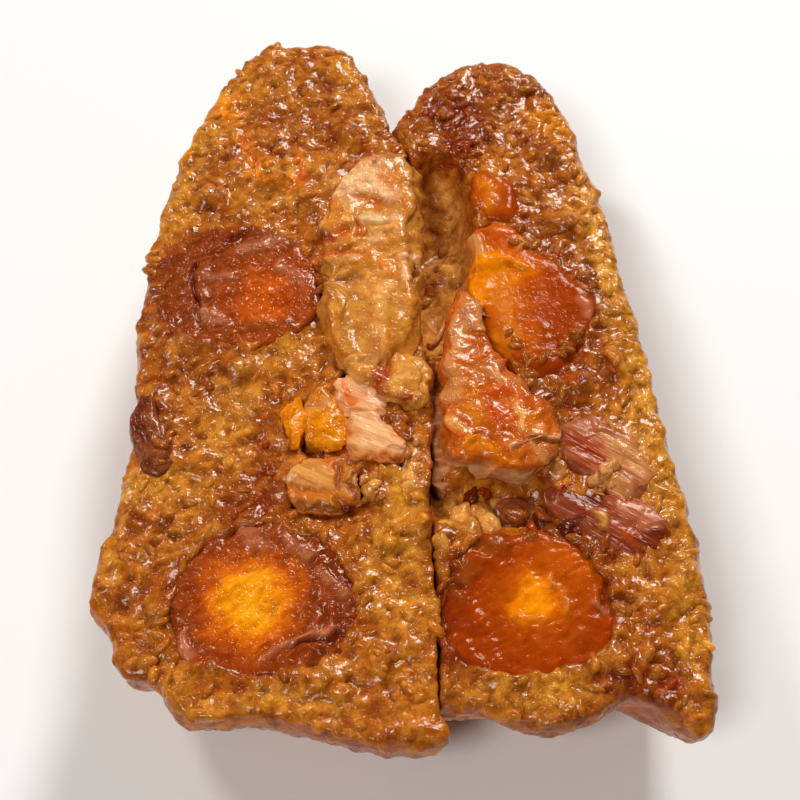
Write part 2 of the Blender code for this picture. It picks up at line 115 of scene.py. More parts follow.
camera = placed("camera", bpy.data.cameras.new("camera"))
camera.data.lens = 81.0
camera.data.sensor_width = 36.0
camera.data.clip_start = 0.01
camera.location = (0.0, -0.18653, 0.28649)
camera.rotation_euler = (MIDDLE - camera.location).to_track_quat("-Z", "Y").to_euler()
scene.camera = camera

# Rice
# Glutinous rice steamed till its grains half melt together, brown with soy and fat.
# Each half is a finer copy of its solid, with every grain raised out of its skin.
SKIN = 0.57 * MM
GRAIN_LENGTH = 4.0 * MM
GRAIN_WIDTH = 2.1 * MM
GRAIN_SPACING = 1.75 * MM
CUT_FACE = 25.0 * MM
GROOVE_PLACE = 8  # middle of the groove beside the seam, in mm across
GROOVE_FLOOR = 14 * MM
FILLING_REACH = 6 * MM


def refined(node, name, size, rounds):
    """A finer copy of a solid's skin, with its flat facets smoothed away."""
    form = bmesh.new()
    form.from_mesh(frame["nodes"][node].data)
    bmesh.ops.remove_doubles(form, verts=form.verts, dist=1e-6)
    mesh = bpy.data.meshes.new(name)
    form.to_mesh(mesh)
    form.free()
    piece = placed(name, mesh)
    skin = piece.modifiers.new("Skin", "REMESH")
    skin.mode = "VOXEL"
    skin.voxel_size = size
    ease = piece.modifiers.new("Ease", "SMOOTH")
    ease.factor = 0.5
    ease.iterations = rounds
    graph = bpy.context.evaluated_depsgraph_get()
    made = bpy.data.meshes.new_from_object(piece.evaluated_get(graph))
    piece.modifiers.clear()
    piece.data = made
    bpy.data.meshes.remove(mesh)
    made.name = name
    made.materials.clear()
    made.polygons.foreach_set("use_smooth", np.ones(len(made.polygons), bool))
    return piece


def skin_of(piece):
    """The points of a piece's skin and the way that each faces."""
    count = len(piece.data.vertices)
    points = np.zeros(count * 3, np.float32)
    facing = np.zeros(count * 3, np.float32)
    piece.data.vertices.foreach_get("co", points)
    piece.data.vertex_normals.foreach_get("vector", facing)
    return points.reshape(-1, 3).astype(float), facing.reshape(-1, 3).astype(float)


def reshape(piece, points):
    """Moves the skin's points, and keeps them inside the solids' own box."""
    low, high = cad_box
    kept = np.clip(points, np.array(low), np.array(high))
    piece.data.vertices.foreach_set("co", kept.astype(np.float32).ravel())
    piece.data.update()


def mottle(points, size, seed):
    """Soft random blotches of the given size, about -1 to 1."""
    shift = Vector((seed * 7.31, seed * 3.17, seed * 5.73))
    return np.array([noise.noise(Vector(p) + shift) for p in points / size])


def rising(values, start, over):
    """From 0 at the start to 1 where the values have gone that far over it."""
    return np.clip((values - start) / over, 0, 1)


def falling(values, end, over):
    """From 1 where the values are that far short of the end to 0 at the end."""
    return np.clip((end - values) / over, 0, 1)


def upward(facing, gain=2):
    """Near 1 where the skin faces up, and 0 where it faces sideways or down."""
    return np.clip(facing[:, 2] * gain, 0, 1)


def soft_spots(points, spots):
    """How far soft oval spots cover each point. A spot is x, y, half sizes and strength, in mm."""
    covered = np.zeros(len(points))
    for x, y, wide, long, strength in spots:
        across = (points[:, 0] / MM - x) / wide
        along = (points[:, 1] / MM - y) / long
        covered += strength * np.exp(-(across**2) - along**2)
    return covered


def paint(red, green, blue):
    """A colour as seen on screen, 0 to 255, in the linear values that a shader takes."""
    shown = np.array([red, green, blue]) / 255
    return ((shown + 0.055) / 1.055) ** 2.4


# Mauve and rose are colours of the meat, and on the yolk rims they are painted sheen.
TINTS = {
    "cream": paint(250, 214, 158), "pink": paint(246, 190, 142), "blond": paint(232, 166, 84),
    "gold": paint(206, 138, 52), "olive": paint(194, 130, 50), "amber": paint(214, 120, 18),
    "orange": paint(216, 104, 22), "flame": paint(242, 142, 2), "scarlet": paint(204, 82, 24),
    "red": paint(164, 56, 8), "maroon": paint(104, 30, 4), "brown": paint(146, 70, 16),
    "tan": paint(212, 144, 82), "mauve_and_sheen": paint(178, 104, 70), "rose_and_sheen": paint(194, 112, 76),
    "rust": paint(166, 62, 4), "copper": paint(196, 88, 4),
}


def brushed(colours, colour, share):
    """The colours with another mixed over them, by each point's share."""
    share = np.clip(share, 0, 1)[:, None]
    return colours * (1 - share) + colour * share


def marked(points, colours, marks, seed):
    """Strokes of tint with their rise. A mark is two ends, half width and rise in mm, and a tint."""
    drift = np.stack([mottle(points, 1.8 * MM, seed), mottle(points, 1.8 * MM, seed + 1)], 1)
    flat = points[:, :2] / MM + 0.7 * drift
    rise = np.zeros(len(points))
    for x, y, to_x, to_y, wide, lift, tint in marks:
        run = np.array([to_x - x, to_y - y])
        share = np.clip((flat - (x, y)) @ run / max(run @ run, 0.01), 0, 1)
        apart = np.linalg.norm(flat - (x, y) - share[:, None] * run, axis=1) / wide
        colours = brushed(colours, TINTS[tint], 0.9 * np.exp(-1.1 * apart**2.5))
        rise += lift * np.clip(1.3 - apart**2, 0, 1) ** 0.7
    return colours, rise * MM


def stain(piece, colours):
    """Writes each point's own colour on the skin, where the finish reads it."""
    tint = piece.data.attributes.new("tint", "FLOAT_COLOR", "POINT")
    whole = np.ones((len(colours), 4), np.float32)
    whole[:, :3] = np.clip(colours, 0, 1)
    tint.data.foreach_set("color", whole.ravel())


def noise_pattern(nodes, links, place, scale, detail, roughness):
    """A noise pattern that lies still on the piece."""
    pattern = nodes.new("ShaderNodeTexNoise")
    pattern.inputs["Scale"].default_value = scale
    pattern.inputs["Detail"].default_value = detail
    pattern.inputs["Roughness"].default_value = roughness
    links.new(place, pattern.inputs["Vector"])
    return pattern


def wet_food(name, glow, reach, roughness, gloss, speckle, dull, fine, depth, lie=None):
    """A moist finish: the skin's own tint with speckles, light that sinks in, and a wet coat.

    A lie is the way of its fibres on the table, in degrees, and draws the patterns out.
    """
    made = bpy.data.materials.new(name)
    made.use_nodes = True
    nodes, links = made.node_tree.nodes, made.node_tree.links
    shader = nodes["Principled BSDF"]
    shader.inputs["Subsurface Weight"].default_value = glow
    shader.inputs["Subsurface Radius"].default_value = (1.0, 0.45, 0.20)
    shader.inputs["Subsurface Scale"].default_value = reach
    shader.inputs["Coat Weight"].default_value = gloss
    shader.inputs["Coat Roughness"].default_value = 0.10
    shader.inputs["Coat IOR"].default_value = 1.6
    shader.inputs["IOR"].default_value = 1.42
    shader.inputs["Specular IOR Level"].default_value = 0.10 + gloss
    shader.inputs["Specular Tint"].default_value = (1.0, 0.82, 0.56, 1.0)
    place = nodes.new("ShaderNodeTexCoord").outputs["Object"]
    if lie is not None:
        drawn = nodes.new("ShaderNodeMapping")
        drawn.vector_type = "TEXTURE"
        drawn.inputs["Rotation"].default_value = (0.0, 0.0, np.radians(lie))
        drawn.inputs["Scale"].default_value = (9.0, 1.0, 1.0)
        links.new(place, drawn.inputs["Vector"])
        place = drawn.outputs["Vector"]
    tint = nodes.new("ShaderNodeAttribute")
    tint.attribute_name = "tint"
    spots = noise_pattern(nodes, links, place, speckle, 5.0, 0.6)
    depths = nodes.new("ShaderNodeValToRGB")
    depths.color_ramp.elements[0].position = 0.32
    depths.color_ramp.elements[0].color = (*dull, 1.0)
    depths.color_ramp.elements[1].position = 0.60
    depths.color_ramp.elements[1].color = (1.12, 1.10, 1.05, 1.0)
    links.new(spots.outputs["Fac"], depths.inputs["Fac"])
    mixed = nodes.new("ShaderNodeMix")
    mixed.data_type = "RGBA"
    mixed.blend_type = "MULTIPLY"
    mixed.inputs[0].default_value = 1.0
    links.new(tint.outputs["Color"], mixed.inputs[6])
    links.new(depths.outputs["Color"], mixed.inputs[7])
    links.new(mixed.outputs[2], shader.inputs["Base Color"])
    wet = nodes.new("ShaderNodeMapRange")
    wet.inputs["From Min"].default_value = 0.35
    wet.inputs["From Max"].default_value = 0.65
    wet.inputs["To Min"].default_value = roughness * 0.7
    wet.inputs["To Max"].default_value = roughness * 1.5
    links.new(spots.outputs["Fac"], wet.inputs["Value"])
    links.new(wet.outputs["Result"], shader.inputs["Roughness"])
    ripple = noise_pattern(nodes, links, place, fine, 1.5, 0.55)
    ripple.inputs["Distortion"].default_value = 0.6
    bump = nodes.new("ShaderNodeBump")
    bump.inputs["Strength"].default_value = 1.0
    bump.inputs["Distance"].default_value = depth
    links.new(ripple.outputs["Fac"], bump.inputs["Height"])
    links.new(bump.outputs["Normal"], shader.inputs["Normal"])
    return made


def put_on(piece, finish, slot_name, *nodes):
    """Gives the piece its finish and its place on the body, and hides the solids that it stands for."""
    piece.data.materials.append(finish)
    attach(piece, "root")
    if nodes:
        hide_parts(*nodes)


# Where soy has soaked the rice dark, and where fat keeps it pale gold: x, y, half sizes and strength.
LEFT_DARK = (
    (-17, 55, 9, 8, 0.35), (-13, 50, 3, 5, 0.6), (-31, 46, 2, 8, 0.5), (-34, 28, 5, 5, 0.5),
    (-42, 18, 4, 5, 0.8), (-42, 10, 4, 6, 0.6), (-36, 1, 6, 8, 0.5), (-32, -7, 5, 4, 0.3),
    (-23, -22, 2, 10, 0.6), (-27, -32, 6, 3, 0.7), (-17, -33, 6, 2, 0.6), (-40, -37, 8, 2, 0.4),
    (-41, -47, 5, 4, 0.6), (-44, -51, 3, 2, 0.8), (-9, -34, 3, 2, 0.6), (-7, -46, 2, 10, 0.4),
    (-11, -28, 2, 2, 0.7), (-43, -16, 4, 6, 0.8), (-11, -59, 5, 2, 0.3), (-3, -74, 7, 2, 0.4),
    (-14, 11, 2, 5, 0.5), (-30, -12, 9, 8, 0.22),
)
LEFT_PALE = (
    (-39, 52, 5, 9, 0.8), (-32, 63, 6, 5, 0.5), (-22, 36, 7, 3, 0.8), (-42, 36, 4, 11, 0.6),
    (-20, 1, 5, 4, 0.9), (-28, -9, 6, 5, 0.5), (-30, -18, 6, 9, 0.5), (-39, -28, 8, 4, 0.7),
    (-46, -30, 3, 5, 0.9), (-48, -43, 2, 5, 0.5), (0, -43, 4, 17, 0.7), (-17, -68, 12, 2, 0.5),
    (0, -30, 4, 5, 0.5), (-9, 67, 3, 4, 0.7), (-20, 62, 8, 7, 0.35), (-9, 4, 5, 9, 0.4),
)
RIGHT_DARK = (
    (6, 57, 5, 9, 0.6), (12, 45, 4, 10, 0.9), (26, 45, 5, 10, 0.5), (23, 27, 5, 6, 0.5),
    (28, 17, 5, 6, 0.9), (31, 8, 4, 10, 0.9), (28, -1, 5, 5, 0.9), (36, -5, 2, 7, 0.7),
    (27, -12, 5, 5, 0.7), (24, -32, 3, 4, 1.2), (33, -36, 7, 5, 0.8), (31, -43, 4, 3, 0.6),
    (38, -40, 5, 3, 0.7), (34, -51, 2, 5, 0.5), (8, -51, 2, 10, 1.1), (10, -58, 3, 5, 1.1),
    (28, -59, 4, 3, 0.9), (35, -65, 4, 2, 1.1), (39, -66, 4, 3, 0.8), (42, -71, 3, 2, 0.6),
    (28, -71, 4, 2, 0.4), (20, 62, 12, 8, 0.45), (14, 52, 8, 8, 0.5), (40, -66, 6, 4, 0.9),
)
RIGHT_PALE = (
    (31, 52, 3, 7, 0.8), (22, -67, 8, 3, 1.1), (46, -58, 3, 11, 0.8), (32, -57, 5, 4, 0.5),
    (37, -26, 4, 5, 0.8), (17, -31, 5, 2, 0.5), (41, -20, 3, 6, 0.5), (38, 20, 3, 16, 1.3),
    (36, 38, 3, 10, 1.1), (42, -2, 3, 14, 1.3), (45, -24, 3, 12, 1.2), (48, -42, 3, 12, 0.8),
)
# Orange yolk oil rubbed into the rice.
LEFT_OIL = ((-33.6, 58, 3.4, 2.6, 1.1), (-23.8, 41.3, 5.0, 2.4, 0.9), (-28.5, 45, 2.2, 4.0, 0.6))
RIGHT_OIL = ((28.2, 55.4, 3.0, 3.4, 1.0), (17.8, 41, 4.0, 4.0, 0.7), (31.0, 50, 2.0, 4.0, 0.5))

# Patches next to the fillings: glaze, yolk oil, pale lumps and hollows.
LEFT_MARKS = (
    (-16.6, -19.6, -14.6, -22.8, 0.9, -1.8, "maroon"), (-2.8, -10.5, -0.3, -18.4, 1.7, 0.2, "red"),
    (-1.4, -13.8, 0.3, -19.6, 1.1, 0.5, "brown"), (-4.9, -8.8, -2.4, -11.3, 1.1, 0.1, "red"),
    (-10, -24.4, -8.4, -26.4, 0.8, -0.4, "brown"), (-5.7, -25.6, -6.4, -28.8, 1.1, -0.3, "brown"),
    (-8, -30, -4, -31.1, 0.9, 0.4, "blond"), (-9.3, -15.9, -8.5, -22.4, 1.1, -0.1, "orange"),
    (-8.8, 45.5, -5, 46.7, 0.8, -0.5, "red"), (-16.6, 18.2, -15.2, 12.3, 0.9, -0.5, "maroon"),
    (-14.1, 41.7, -12.2, 36.7, 1.5, 0.5, "blond"), (-17.3, -13, -13.7, -20.4, 1.7, -0.2, "amber"),
    (-13.2, -8.8, -9.6, -7.5, 0.9, 0.2, "amber"), (-11.3, -2.8, -9.6, -6.3, 0.9, -1, "maroon"),
    (0.7, -3.3, 3.5, -12.2, 1.9, 0.3, "gold"), (2.4, -20.4, 2, -28.4, 1.3, 0.2, "blond"),
    (-9.3, -33.3, -8, -35, 0.9, -0.6, "maroon"), (-32.8, 59, -32.2, 55.5, 2, 0.2, "flame"),
    (-31.5, 54.1, -29.9, 48.9, 1.2, -0.1, "amber"), (-29.9, 48.9, -28.3, 43.8, 1.3, -0.2, "orange"),
    (-28.3, 43.8, -25.4, 38.8, 1.5, -0.2, "amber"), (-25.4, 38.8, -18.4, 36.5, 1.5, -0.2, "amber"),
    (-23.8, 41.5, -20, 42.2, 2.4, -0.5, "gold"), (-19.4, 45, -18.6, 39, 1.1, 0, "orange"),
    (-27.4, 47.6, -22.4, 45.8, 0.8, -0.3, "rust"),
)
RIGHT_MARKS = (
    (34.8, 19, 35.4, 4.7, 0.9, -0.3, "maroon"), (27.8, -11.5, 24.2, -15.7, 1.5, -0.5, "brown"),
    (21, -7.3, 27.9, -9.8, 1.5, 0.2, "brown"), (26, -5.6, 31.5, -7.3, 1.1, -0.2, "red"),
    (23.3, -19.4, 26.8, -25.8, 1.3, 0.4, "tan"), (23.3, -35.6, 27.5, -38.3, 1.7, -1, "maroon"),
    (22.5, -33.7, 27, -35.6, 1.3, 0.6, "brown"), (11.8, -29.8, 13.1, -31.7, 1.1, -0.2, "maroon"),
    (35.4, -0.8, 36.5, -11.5, 1.1, -0.3, "brown"), (42.7, -25.8, 43.9, -35.6, 1.1, 0, "gold"),
    (36.5, -16.7, 40.9, -22.8, 1.9, 0.2, "tan"), (15.2, 38.8, 18, 30.9, 1.9, 0, "flame"),
    (18.9, 36.3, 21, 30.9, 1.5, 0, "amber"),
)

RICE_MID = paint(184, 100, 20)
RICE_DARK = paint(136, 46, 2)
RICE_PALE = paint(220, 150, 46)
RICE_OIL = paint(242, 146, 6)
RICE_LEAF_SIDE = paint(190, 102, 50)
RICE_CREVICE_SHADE = paint(108, 38, 2)


def grain_seats(points, spacing, seed):
    """One random point of the skin in each cube of the spacing, where a grain lies."""
    order = np.random.default_rng(seed).permutation(len(points))
    cubes = np.floor(points[order] / spacing).astype(int)
    _, first = np.unique(cubes, axis=0, return_index=True)
    return order[np.sort(first)]


def tree_of(points):
    """A tree that finds the points near a place."""
    tree = kdtree.KDTree(len(points))
    for index, point in enumerate(points):
        tree.insert(point, index)
    tree.balance()
    return tree


def raise_grains(points, facing, seats, seed, height):
    """How far each point stands up, and the shade of its grain, with grains lying every way."""
    draw = np.random.default_rng(seed)
    tree = tree_of(points)
    raised = np.full(len(points), -0.45)
    shade = np.zeros(len(points))
    lie = []
    for seat in seats:
        normal = facing[seat]
        along = draw.normal(size=3)
        along -= normal * np.dot(along, normal)
        along /= np.linalg.norm(along)
        across = np.cross(normal, along)
        long = GRAIN_LENGTH / 2 * draw.uniform(0.75, 1.2)
        wide = GRAIN_WIDTH / 2 * draw.uniform(0.8, 1.2)
        lift = draw.uniform(-0.45, 0.2)
        tone = draw.uniform(-1, 1)
        near = np.array([found[1] for found in tree.find_range(points[seat], long)])
        offset = points[near] - points[seat]
        inside = 1 - (offset @ along / long) ** 2 - (offset @ across / wide) ** 2
        near, inside = near[inside > 0], inside[inside > 0]
        top = lift + 0.9 * inside**0.6
        better = top > raised[near]
        raised[near[better]] = top[better]
        shade[near[better]] = tone
        lie.append((along, across, tone))
    return raised * height, raised, shade, lie


def rice_colours(points, facing, dark, pale, oil, seed):
    """The rice's brown, with soy and fat in soft patches, a paler groove that is partly painted light, and
    the paler leaf side below.
    """
    wobble = points + 0.8 * MM * np.stack([mottle(points, 3 * MM, seed + k) for k in range(3)], 1)
    blotch = mottle(points, 7 * MM, seed + 5)
    small = mottle(points, 2.2 * MM, seed + 6)
    top = rising(points[:, 2], 20 * MM, 6 * MM)
    soy = 0.10 + 1.10 * soft_spots(wobble, dark) * top + 0.36 * blotch + 0.30 * small
    fat = 0.08 + 0.95 * soft_spots(wobble, pale) * top - 0.30 * blotch - 0.30 * small
    colours = np.tile(RICE_MID, (len(points), 1))
    colours = brushed(colours, RICE_PALE, fat)
    colours = brushed(colours, RICE_DARK, soy)
    # The groove's rice is brushed pale blond: partly its own paler tan, partly painted light that lifts the
    # shade in the groove.
    inside = np.exp(-(((points[:, 0] / MM - GROOVE_PLACE) / 6) ** 2)) * falling(points[:, 2], 23 * MM, 2 * MM)
    inside *= points[:, 2] > GROOVE_FLOOR
    colours = brushed(colours, TINTS["blond"], (0.85 + 0.5 * small) * inside)
    outside = np.clip(0.75 - facing[:, 2] * 1.4, 0, 1) * falling(points[:, 2], 27.5 * MM, 3 * MM)
    colours = brushed(colours, RICE_LEAF_SIDE, 0.55 * outside)
    return brushed(colours, RICE_OIL, soft_spots(wobble, oil) * top)


def web_of(nodes):
    """The solids of these nodes as one searchable skin."""
    corners, faces = [], []
    for node in sorted(nodes):
        mesh = frame["nodes"][node].data
        start = len(corners)
        corners.extend(point.co.copy() for point in mesh.vertices)
        faces.extend([start + corner for corner in face.vertices] for face in mesh.polygons)
    return bvhtree.BVHTree.FromPolygons(corners, faces)


def to_filling(points, web):
    """How far each point is from a filling, and the level way there."""
    found = [web.find_nearest(Vector(point), FILLING_REACH) for point in points]
    apart = np.array([FILLING_REACH if hit[0] is None else hit[3] for hit in found])
    way = np.array([
        (0, 0, 0) if hit[0] is None else tuple(hit[0] - Vector(point))
        for hit, point in zip(found, points)])
    way[:, 2] = 0
    return apart, way / np.maximum(np.linalg.norm(way, axis=1), 1e-6)[:, None]


fillings_skin = web_of(node for node in frame["nodes"] if not node.startswith("rice"))
rice_finish = wet_food(
    "sticky_rice", glow=0.35, reach=0.8 * MM, roughness=0.15, gloss=0.20, speckle=480.0,
    dull=(0.55, 0.34, 0.18), fine=1150.0, depth=0.32 * MM)

HALVES = (
    ("rice_left", LEFT_DARK, LEFT_PALE, LEFT_OIL, LEFT_MARKS, 11),
    ("rice_right", RIGHT_DARK, RIGHT_PALE, RIGHT_OIL, RIGHT_MARKS, 23),
)
rice_seats = []
for node, dark, pale, oil, marks, seed in HALVES:
    half = refined(node, node + "_skin", SKIN, 5)
    points, facing = skin_of(half)
    seats = grain_seats(points, GRAIN_SPACING, seed)
    on_cut = np.clip((points[:, 2] - CUT_FACE + 2 * MM) / (2 * MM), 0, 1)
    groove = np.exp(-(((points[:, 0] / MM - GROOVE_PLACE) / 5) ** 2)) * (1 - on_cut)
    groove *= points[:, 2] > GROOVE_FLOOR
    height = (0.32 + 0.34 * groove + 0.44 * on_cut * np.clip(facing[:, 2] * 1.5 - 0.2, 0, 1)) * MM
    melted = np.clip(0.5 + 1.3 * mottle(points, 9 * MM, seed + 14), 0, 1)
    height *= 1.02 - 0.58 * melted
    rise, depth, shade, lie = raise_grains(points, facing, seats, seed, height)
    fine = 0.22 * MM * mottle(points, 1.2 * MM, seed + 9)
    moved = points + facing * (rise + fine - 0.25 * MM)[:, None]
    apart, way = to_filling(points, fillings_skin)
    creep = np.exp(-((apart / (2.2 * MM)) ** 2)) * rising(points[:, 2], 20 * MM, 3 * MM)
    uneven = 0.9 + 1.4 * mottle(points, 3.5 * MM, seed + 12)
    moved += way * (creep * np.clip(uneven, 0.1, 2.0) * MM)[:, None]
    moved[:, 2] += creep * np.clip(0.5 + 0.8 * uneven, 0, 1.2) * 0.7 * MM
    colours = rice_colours(points, facing, dark, pale, oil, seed)
    stroked, sunk = marked(points, colours, marks, seed + 15)
    on_top = rising(points[:, 2], 21 * MM, 3 * MM)
    moved[:, 2] += sunk * on_top
    colours = brushed(colours, stroked, on_top)
    reshape(half, moved)
    # Painted shade darkens the low crevices between grains by their depth, and painted light makes the high
    # grain tops paler.
    colours = brushed(colours, RICE_CREVICE_SHADE, np.clip(0.30 - depth * 0.8, 0, 0.6))
    colours = brushed(colours, RICE_PALE, np.clip(depth * 0.6 - 0.36, 0, 0.3))
    colours = brushed(colours, RICE_DARK, 0.55 * np.exp(-((apart / (1.4 * MM)) ** 2)))
    colours *= (1 + 0.14 * shade)[:, None]
    stain(half, colours)
    put_on(half, rice_finish, "sticky_rice", node)
    rice_seats.append((node, moved, facing, colours, seats, lie, seed))

# Salted yolks
# Halved duck egg yolks cured in salt: waxy, bright at the heart and dark brown at the rim.
# Each is a finer copy of its solid, wrinkled along the knife's way and ringed near the edge.
YOLK_SKIN = 0.42 * MM
SECTORS = 72  # ways in which the reach of an outline is measured


def layered(distance, stops):
    """Colours that change with the distance from a heart, given as pairs of millimetres and colour."""
    at = [place * MM for place, _ in stops]
    shades = np.array([colour for _, colour in stops])
    return np.stack([np.interp(distance, at, shades[:, channel]) for channel in range(3)], 1)


def swollen(points, facing, amount, sunk=0.0):
    """The skin moved out sideways, to press into the rice round it, and sunk a little."""
    return points + facing * np.array([1.0, 1.0, 0.25]) * amount - np.array([0, 0, sunk])


def torn(points, size, amount, seed):
    """A level push that leaves an outline uneven, as torn or pressed food is."""
    push = np.stack([mottle(points, size, seed), mottle(points, size, seed + 1), np.zeros(len(points))], 1)
    return push * amount


def levelled(points, share):
    """A domed top pressed flatter, as the knife leaves it, with its rim kept."""
    top = points[:, 2].max()
    near = np.clip((points[:, 2] - top + 6 * MM) / (2.5 * MM), 0, 1)
    pressed = points.copy()
    pressed[:, 2] += (top - points[:, 2]) * share * near
    return pressed


def unfold(piece, facing):
    """Eases the points of the skin that a push has folded over."""
    bent = np.einsum("ij,ij->i", skin_of(piece)[1], facing) < 0.1
    form = bmesh.new()
    form.from_mesh(piece.data)
    form.verts.ensure_lookup_table()
    folded = {
        near for index in np.flatnonzero(bent)
        for edge in form.verts[index].link_edges for near in edge.verts}
    for _ in range(6):
        bmesh.ops.smooth_vert(
            form, verts=sorted(folded, key=lambda point: point.index), factor=0.5,
            use_axis_x=True, use_axis_y=True, use_axis_z=True)
    form.to_mesh(piece.data)
    form.free()


def dressed(piece, shape, facing, colours):
    """Gives a filling its final form, eases what folded and writes its colours."""
    reshape(piece, shape)
    unfold(piece, facing)
    stain(piece, colours)


def cut_to(points, corners):
    """The skin drawn in or out to the sharper outline that knife or teeth left, seen from above."""
    corners = np.array(corners) * MM
    middle = corners.mean(0)
    flat = points[:, :2] - middle
    turn = np.arctan2(flat[:, 1], flat[:, 0])
    reach = np.hypot(flat[:, 0], flat[:, 1])
    own = np.zeros(SECTORS)
    np.maximum.at(own, (np.floor((turn / np.pi + 1) * (SECTORS // 2)) % SECTORS).astype(int), reach)
    middles = (np.arange(SECTORS) + 0.5) / (SECTORS // 2) * np.pi - np.pi
    had = np.interp(turn, middles, own, period=2 * np.pi)
    starts, sides = corners - middle, np.roll(corners, -1, axis=0) - corners
    ways = np.linspace(-np.pi, np.pi, 181)
    wanted = []
    for way in ways:
        ray = np.array([np.cos(way), np.sin(way)])
        spread = ray[0] * sides[:, 1] - ray[1] * sides[:, 0]
        far = (starts[:, 0] * sides[:, 1] - starts[:, 1] * sides[:, 0]) / spread
        along = (starts[:, 0] * ray[1] - starts[:, 1] * ray[0]) / spread
        wanted.append(far[(far > 0) & (along >= 0) & (along <= 1)].max())
    shaped = points.copy()
    shaped[:, :2] = middle + flat * (np.interp(turn, ways, wanted) / had)[:, None]
    return shaped


def streaks(points, angle, long, narrow, seed):
    """Streaky blotches drawn out along an angle on the table, in degrees."""
    turn = np.radians(angle)
    along = points[:, 0] * np.cos(turn) + points[:, 1] * np.sin(turn)
    across = points[:, 1] * np.cos(turn) - points[:, 0] * np.sin(turn)
    drawn = np.stack([along / long, across / narrow, points[:, 2] / narrow], 1)
    return mottle(drawn, 1.0, seed)


yolk_finish = wet_food(
    "salted_yolk", glow=0.20, reach=0.6 * MM, roughness=0.16, gloss=0.16, speckle=500.0,
    dull=(0.74, 0.58, 0.40), fine=1000.0, depth=0.36 * MM)
waxy_finish = wet_food(
    "waxy_yolk", glow=0.30, reach=0.8 * MM, roughness=0.15, gloss=0.04, speckle=420.0,
    dull=(0.84, 0.72, 0.56), fine=1200.0, depth=0.09 * MM)

# Node, finish, heart, depth of wrinkles and of rings, lift in mm, and colours out from the heart.
YOLKS = (
    ("yolk_left_front", yolk_finish, (-24.3, -50.6), 0.24, 1.0, 0.8, (
        (0, paint(252, 168, 6)), (4.4, paint(248, 152, 4)), (6.0, paint(226, 114, 4)),
        (7.6, paint(184, 80, 6)), (9.8, paint(150, 62, 14)), (16, paint(128, 48, 10)))),
    ("yolk_left_back", yolk_finish, (-23.8, 10.4), 0.26, 0.8, 0.8, (
        (0, paint(208, 92, 8)), (4.2, paint(198, 84, 6)), (5.8, paint(166, 68, 8)),
        (10, paint(152, 66, 16)), (20, paint(134, 54, 14)))),
    ("yolk_right_front", waxy_finish, (22.4, -49.7), 0.22, 0.6, 0.6, (
        (0, paint(248, 150, 4)), (2.8, paint(238, 134, 2)), (4.4, paint(206, 98, 2)),
        (5.8, paint(176, 74, 2)), (11, paint(158, 56, 2)), (14, paint(138, 46, 4)), (17, paint(118, 38, 4)))),
    ("yolk_right_back", waxy_finish, (18.0, 16.4), 0.08, 0.15, -0.1, (
        (0, paint(236, 140, 0)), (3.2, paint(220, 114, 0)), (6.0, paint(194, 84, 2)),
        (11, paint(166, 62, 4)), (16, paint(146, 52, 4)), (24, paint(130, 44, 6)))),
    ("yolk_scrap_right", waxy_finish, (17.0, 35.5), 0.16, 0.0, 0.4, (
        (0, paint(194, 90, 2)), (5.0, paint(174, 74, 4)), (9, paint(152, 58, 6)))),
    ("yolk_crumb_left", yolk_finish, (-18.4, -16.0), 0.24, 0.0, 0.0, (
        (0, paint(244, 146, 0)), (5.0, paint(234, 132, 0)))),
    ("yolk_crumb_middle", yolk_finish, (-12.2, -17.5), 0.24, 0.0, 0.0, (
        (0, paint(238, 146, 0)), (4.0, paint(222, 128, 2)), (7.0, paint(198, 108, 14)))),
)
# Outlines of the pieces with sharp corners, seen from above, in mm.
SHARP = {
    "lean_left_middle": (
        (-8.3, -14.7), (-4.7, -14.7), (-2.2, -17.1), (0.7, -20.4), (1.4, -22.8), (0.3, -25.0),
        (-3.7, -24.4), (-7.8, -24.0), (-9.2, -21.6), (-9.5, -16.3)),
    "lean_left_front": (
        (-19.2, -27.6), (-17.6, -25.0), (-13.9, -23.6), (-9.4, -24.0), (-7.2, -26.2), (-6.8, -30.0),
        (-6.2, -32.9), (-9.4, -34.8), (-16.6, -34.6), (-18.7, -31.9)),
    "lean_left_back": (
        (-11.4, -7.2), (-8.4, -6.5), (-4.9, -8.8), (-2.1, -11.8), (-2.2, -15.0), (-5.5, -15.6),
        (-9.5, -15.2), (-11.2, -12.5)),
    "yolk_crumb_left": (
        (-20.7, -14.5), (-17.5, -11.1), (-16.2, -15.9), (-16.6, -18.8), (-16.8, -22.2), (-18.6, -21.6),
        (-19.2, -18.4)),
    "yolk_crumb_middle": (
        (-15.3, -10.5), (-13.6, -8.6), (-11.5, -11.1), (-9.7, -14.7), (-9.4, -20.4), (-10.5, -22.4),
        (-13.6, -21.8), (-16.4, -20.6), (-16.8, -13.2)),
    "lean_right_back": (
        (30.2, -15.1), (32.8, -14.7), (35.1, -16.3), (39.0, -18.8), (42.1, -22.8), (42.4, -27.6),
        (38.8, -30.8), (34.6, -28.4), (30.3, -27.2), (27.1, -24.4), (26.7, -22.4), (27.7, -18.4)),
    "lean_right_front": (
        (24.9, -30.8), (26.9, -28.4), (30.2, -28.8), (34.4, -30.4), (38.4, -31.9), (42.4, -34.6),
        (44.3, -37.1), (43.4, -40.9), (39.3, -42.2), (34.8, -41.5), (31.4, -38.1), (28.6, -35.2),
        (26.0, -33.3)),
}
